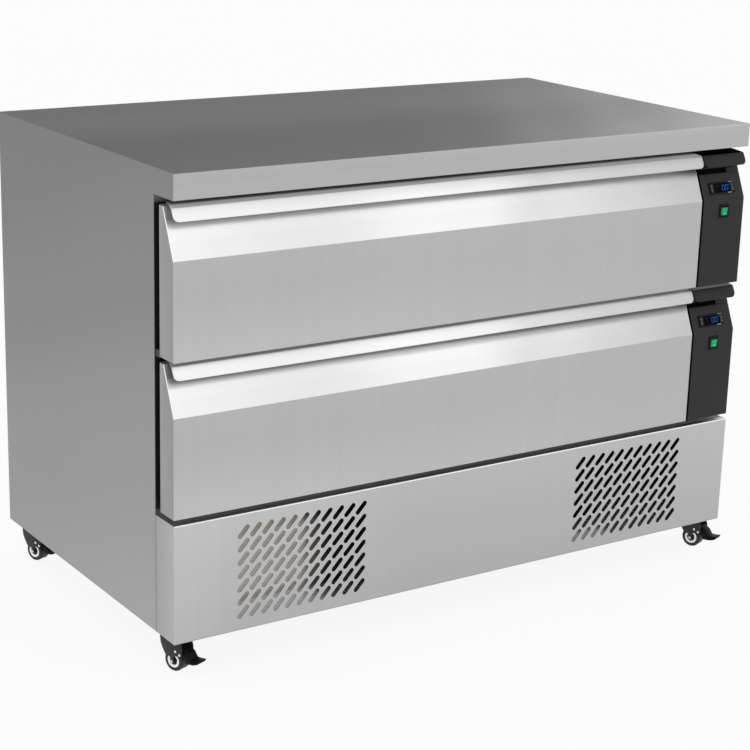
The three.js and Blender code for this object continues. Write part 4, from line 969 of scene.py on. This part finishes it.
def build_wheel(name, matrix):
    """Tyre, hub rings and spokes, about local Z until the matrix lays them on the axle."""
    matrix = matrix @ shift(0, AXLE_Y, AXLE_Z) @ TO_X
    dish = [(WHEEL_BORE, WHEEL_HALF - 2.2), (12.6, WHEEL_HALF - 2.2), (13.4, WHEEL_HALF - 0.5),
            (14.2, WHEEL_HALF - 0.2)]
    profile = [(radius, -height) for radius, height in dish] + shoulder(-1)
    profile += [(WHEEL_RADIUS - 0.35, -3.2), (WHEEL_RADIUS - 0.35, 3.2)]
    profile += shoulder(1) + dish[::-1] + [profile[0]]
    bm = bmesh.new()
    add_turned(bm, profile, Matrix.Identity(4), 64)
    finish_mesh(f"{name}_tyre", bm, TYRE, f"{name}_wheel", [f"{name}_caster_wheel"],
                matrix=matrix)
    bm = bmesh.new()
    ring = [(8.4, 9.8), (12.9, 9.8), (12.9, 11.3), (12.2, 11.9), (10.9, 11.75), (9.7, 10.9), (8.4, 10.7),
            (8.4, 9.8)]
    for side in (-1, 1):
        add_turned(bm, [(radius, side * height) for radius, height in ring], Matrix.Identity(4), 56)
    finish_mesh(f"{name}_hub_ring", bm, HUB, f"{name}_wheel", matrix=matrix)
    bm = bmesh.new()
    spoke = fillet([(3.6, -1.3), (8.6, -1.9), (8.6, 1.9), (3.6, 1.3)], 0.6, 2)
    for side in (-1, 1):
        for k in range(SPOKES):
            start = len(bm.verts)
            add_prism(bm, spoke, "Z", sorted((side * 9.7, side * 10.5)), 0.2, 1)
            bm.verts.ensure_lookup_table()
            turn = Matrix.Rotation(2 * math.pi * k / SPOKES + SPOKE_TURN, 4, "Z")
            bmesh.ops.transform(bm, matrix=turn, verts=bm.verts[start:])
    finish_mesh(f"{name}_hub_spokes", bm, HUB_PLATE, f"{name}_wheel", matrix=matrix)


def build_pedal(name, matrix):
    outline = [(-20, 40), (-23, 50), (-30, 48), (-41, 40.4), (-47, 31), (-57, 31.2), (-64, 32.4), (-66, 30.7),
               (-62, 26), (-53, 22.2), (-43, 21), (-36, 21), (-33, 28), (-27, 32.5)]
    radii = [2, 2.5, 4, 3, 4, 3, 1.2, 1.2, 2, 4, 4, 2, 1, 1]
    rim = [(-45, 30), (-54, 30.5), (-62, 32), (-64, 31.5), (-54, 24), (-45, 24)]
    bm = bmesh.new()
    add_prism(bm, fillet(outline, radii, 4), "X", (-PEDAL_HALF, PEDAL_HALF), 0.8)
    for x in (-PEDAL_HALF, PEDAL_HALF - PEDAL_RIM):
        add_prism(bm, fillet(rim, 1.0, 2), "X", (x, x + PEDAL_RIM), 0.3, 1)
    finish_mesh(f"{name}_pedal_shell", bm, CASTER, f"{name}_pedal", [f"{name}_brake_pedal"],
                matrix=matrix)


# Plinth
def slot_outline(x, z):
    """One slanted air slot with round ends."""
    steps = 6
    radius = SLOT_WIDTH / 2
    reach = SLOT_LENGTH / 2 - radius
    points = []
    for end in (SLOT_SLANT, SLOT_SLANT + math.pi):
        for k in range(steps + 1):
            angle = end - math.pi / 2 + math.pi * k / steps
            points.append((x + reach * math.cos(end) + radius * math.cos(angle),
                           z + reach * math.sin(end) + radius * math.sin(angle)))
    return points


def build_plinth():
    """The slotted front sheet with the folds along its top and bottom."""
    loops = [[(LEFT, PLINTH_BOTTOM), (RIGHT, PLINTH_BOTTOM), (RIGHT, PLINTH_TOP), (LEFT, PLINTH_TOP)]]
    middle = (PLINTH_BOTTOM + PLINTH_TOP) / 2
    for group in SLOT_GROUPS:
        for column in range(SLOT_COLUMNS):
            for row in range(SLOT_ROWS):
                loops.append(slot_outline(group + (column - (SLOT_COLUMNS - 1) / 2) * SLOT_PITCH[0],
                                          middle + (row - (SLOT_ROWS - 1) / 2) * SLOT_PITCH[1]))
    bm = bmesh.new()
    sides = [[[bm.verts.new((x, y, z)) for x, z in loop] for loop in loops] for y in (FRONT, FRONT + SHEET)]
    triangles = tessellate_polygon([[Vector((x, z, 0)) for x, z in loop] for loop in loops])
    for side in sides:
        flat = [vert for loop in side for vert in loop]
        for triangle in triangles:
            bm.faces.new([flat[i] for i in triangle])
    for near, far in zip(*sides):
        bridge(bm, near, far)
    for span_z in ((PLINTH_BOTTOM, PLINTH_BOTTOM + SHEET), (PLINTH_TOP - SHEET, PLINTH_TOP)):
        add_box(bm, (LEFT + 1.5, RIGHT - 1.5), (FRONT + SHEET, FRONT + PLINTH_FOLD), span_z)
    finish_mesh("plinth_skin", bm, STEEL_PLINTH, "cabinet", ["plinth_panel"])


def build_plinth_edge():
    """The rounded fold along the top of the plinth, which carries a painted highlight."""
    bm = bmesh.new()
    outline = rounded(FRONT - 0.3, FRONT + 1.4, PLINTH_TOP - 2.4, PLINTH_TOP + 0.2, 0.8)
    add_prism(bm, outline, "X", (LEFT, RIGHT))
    finish_mesh("plinth_top_fold", bm, STEEL_HIGHLIGHT, "cabinet")


build_worktop()
for level in LEVELS:
    build_drawer_front(level)
    build_control_panel(level)
    build_thermostat(level)
    build_rocker(level)
    soften(f"{level}_drawer_box", 0.4, 1)
for unit in CONDENSERS:
    build_condenser(unit)
for name, (x, y) in CASTERS.items():
    place_matrix = shift(x, y, 0) @ Matrix.Rotation(CASTER_TURN, 4, "Z")
    build_fork(name, place_matrix)
    build_wheel(name, place_matrix)
    build_pedal(name, place_matrix)
build_plinth()
build_plinth_edge()
for unit in CONDENSERS:
    soften(f"{unit}_compressor", 1.5)


# Floor, world, lamps and camera
FLOOR_WHITE = 0.90  # share of plain white in what is seen of the floor; the rest keeps the shadow
ROOM_LIGHT, SEEN_WHITE = 0.8, 1.0  # strengths of the world as light, and as the background that is seen


def build_stage():
    """A pale floor that keeps the object's shadow, just under it."""
    reach = 60.0
    mesh = bpy.data.meshes.new("floor")
    mesh.from_pydata([(-reach, -reach, 0), (reach, -reach, 0), (reach, reach, 0), (-reach, reach, 0)], [],
                     [(0, 1, 2, 3)])
    floor = bpy.data.objects.new("floor", mesh)
    bpy.context.scene.collection.objects.link(floor)
    floor.location.z = -0.0002
    g = Graph(bpy.data.materials.new("floor"))
    ramp = g.node("ValToRGB", {0: g.node("TexNoise", {"Scale": 3.0}).outputs["Fac"]})
    for element, tone in zip(ramp.color_ramp.elements, (0.94, 0.97)):
        element.color = (tone, tone, tone, 1)
    g.set("Base Color", ramp.outputs[0])
    g.set("Roughness", 0.9)
    g.set("Specular IOR Level", 0.1)
    glow = g.node("Emission", {"Strength": SEEN_WHITE})
    g.show_white(g.shader.outputs[0], glow.outputs[0], FLOOR_WHITE, "Material Output")
    mesh.materials.append(g.owner)


def build_world():
    """Soft white light all round, and plain white where the background is seen."""
    world = bpy.data.worlds.new("studio")
    bpy.context.scene.world = world
    g = Graph(world)
    soft, plain = [g.node("Background", {"Color": WHITE, "Strength": strength}).outputs[0]
                   for strength in (ROOM_LIGHT, SEEN_WHITE)]
    g.show_white(soft, plain, 1.0, "World Output")


def add_lamp(name, location, size, power):
    """A lamp that points at the middle of the counter."""
    data = bpy.data.lights.new(name, "AREA")
    data.shape = "RECTANGLE"
    data.size, data.size_y = size
    data.energy = power
    lamp = bpy.data.objects.new(name, data)
    bpy.context.scene.collection.objects.link(lamp)
    lamp.location = location
    lamp.rotation_mode = "QUATERNION"
    lamp.rotation_quaternion = (Vector((0, 0, 0.4)) - Vector(location)).to_track_quat("-Z", "Y")


def build_camera():
    """The camera that the corners in the photograph were fitted with."""
    data = bpy.data.cameras.new("camera")
    data.sensor_width = 36.0
    data.lens = 92.44
    data.clip_end = 200.0
    camera = bpy.data.objects.new("camera", data)
    bpy.context.scene.collection.objects.link(camera)
    right, up, back = (0.83473, -0.54999, 0.02713), (0.13357, 0.25003, 0.95898), (-0.53422, -0.79687, 0.28217)
    turn = Matrix((right, up, back)).transposed().to_4x4()
    camera.matrix_world = shift(-2.0292, -3.0344, 1.4434) @ turn
    bpy.context.scene.camera = camera


build_stage()
build_world()
add_lamp("key", (-2.4, -3.2, 3.4), (2.2, 2.2), 12)
add_lamp("fill", (3.0, -3.0, 2.2), (2.5, 2.0), 5)
build_camera()
bpy.context.scene.view_settings.view_transform = "Standard"
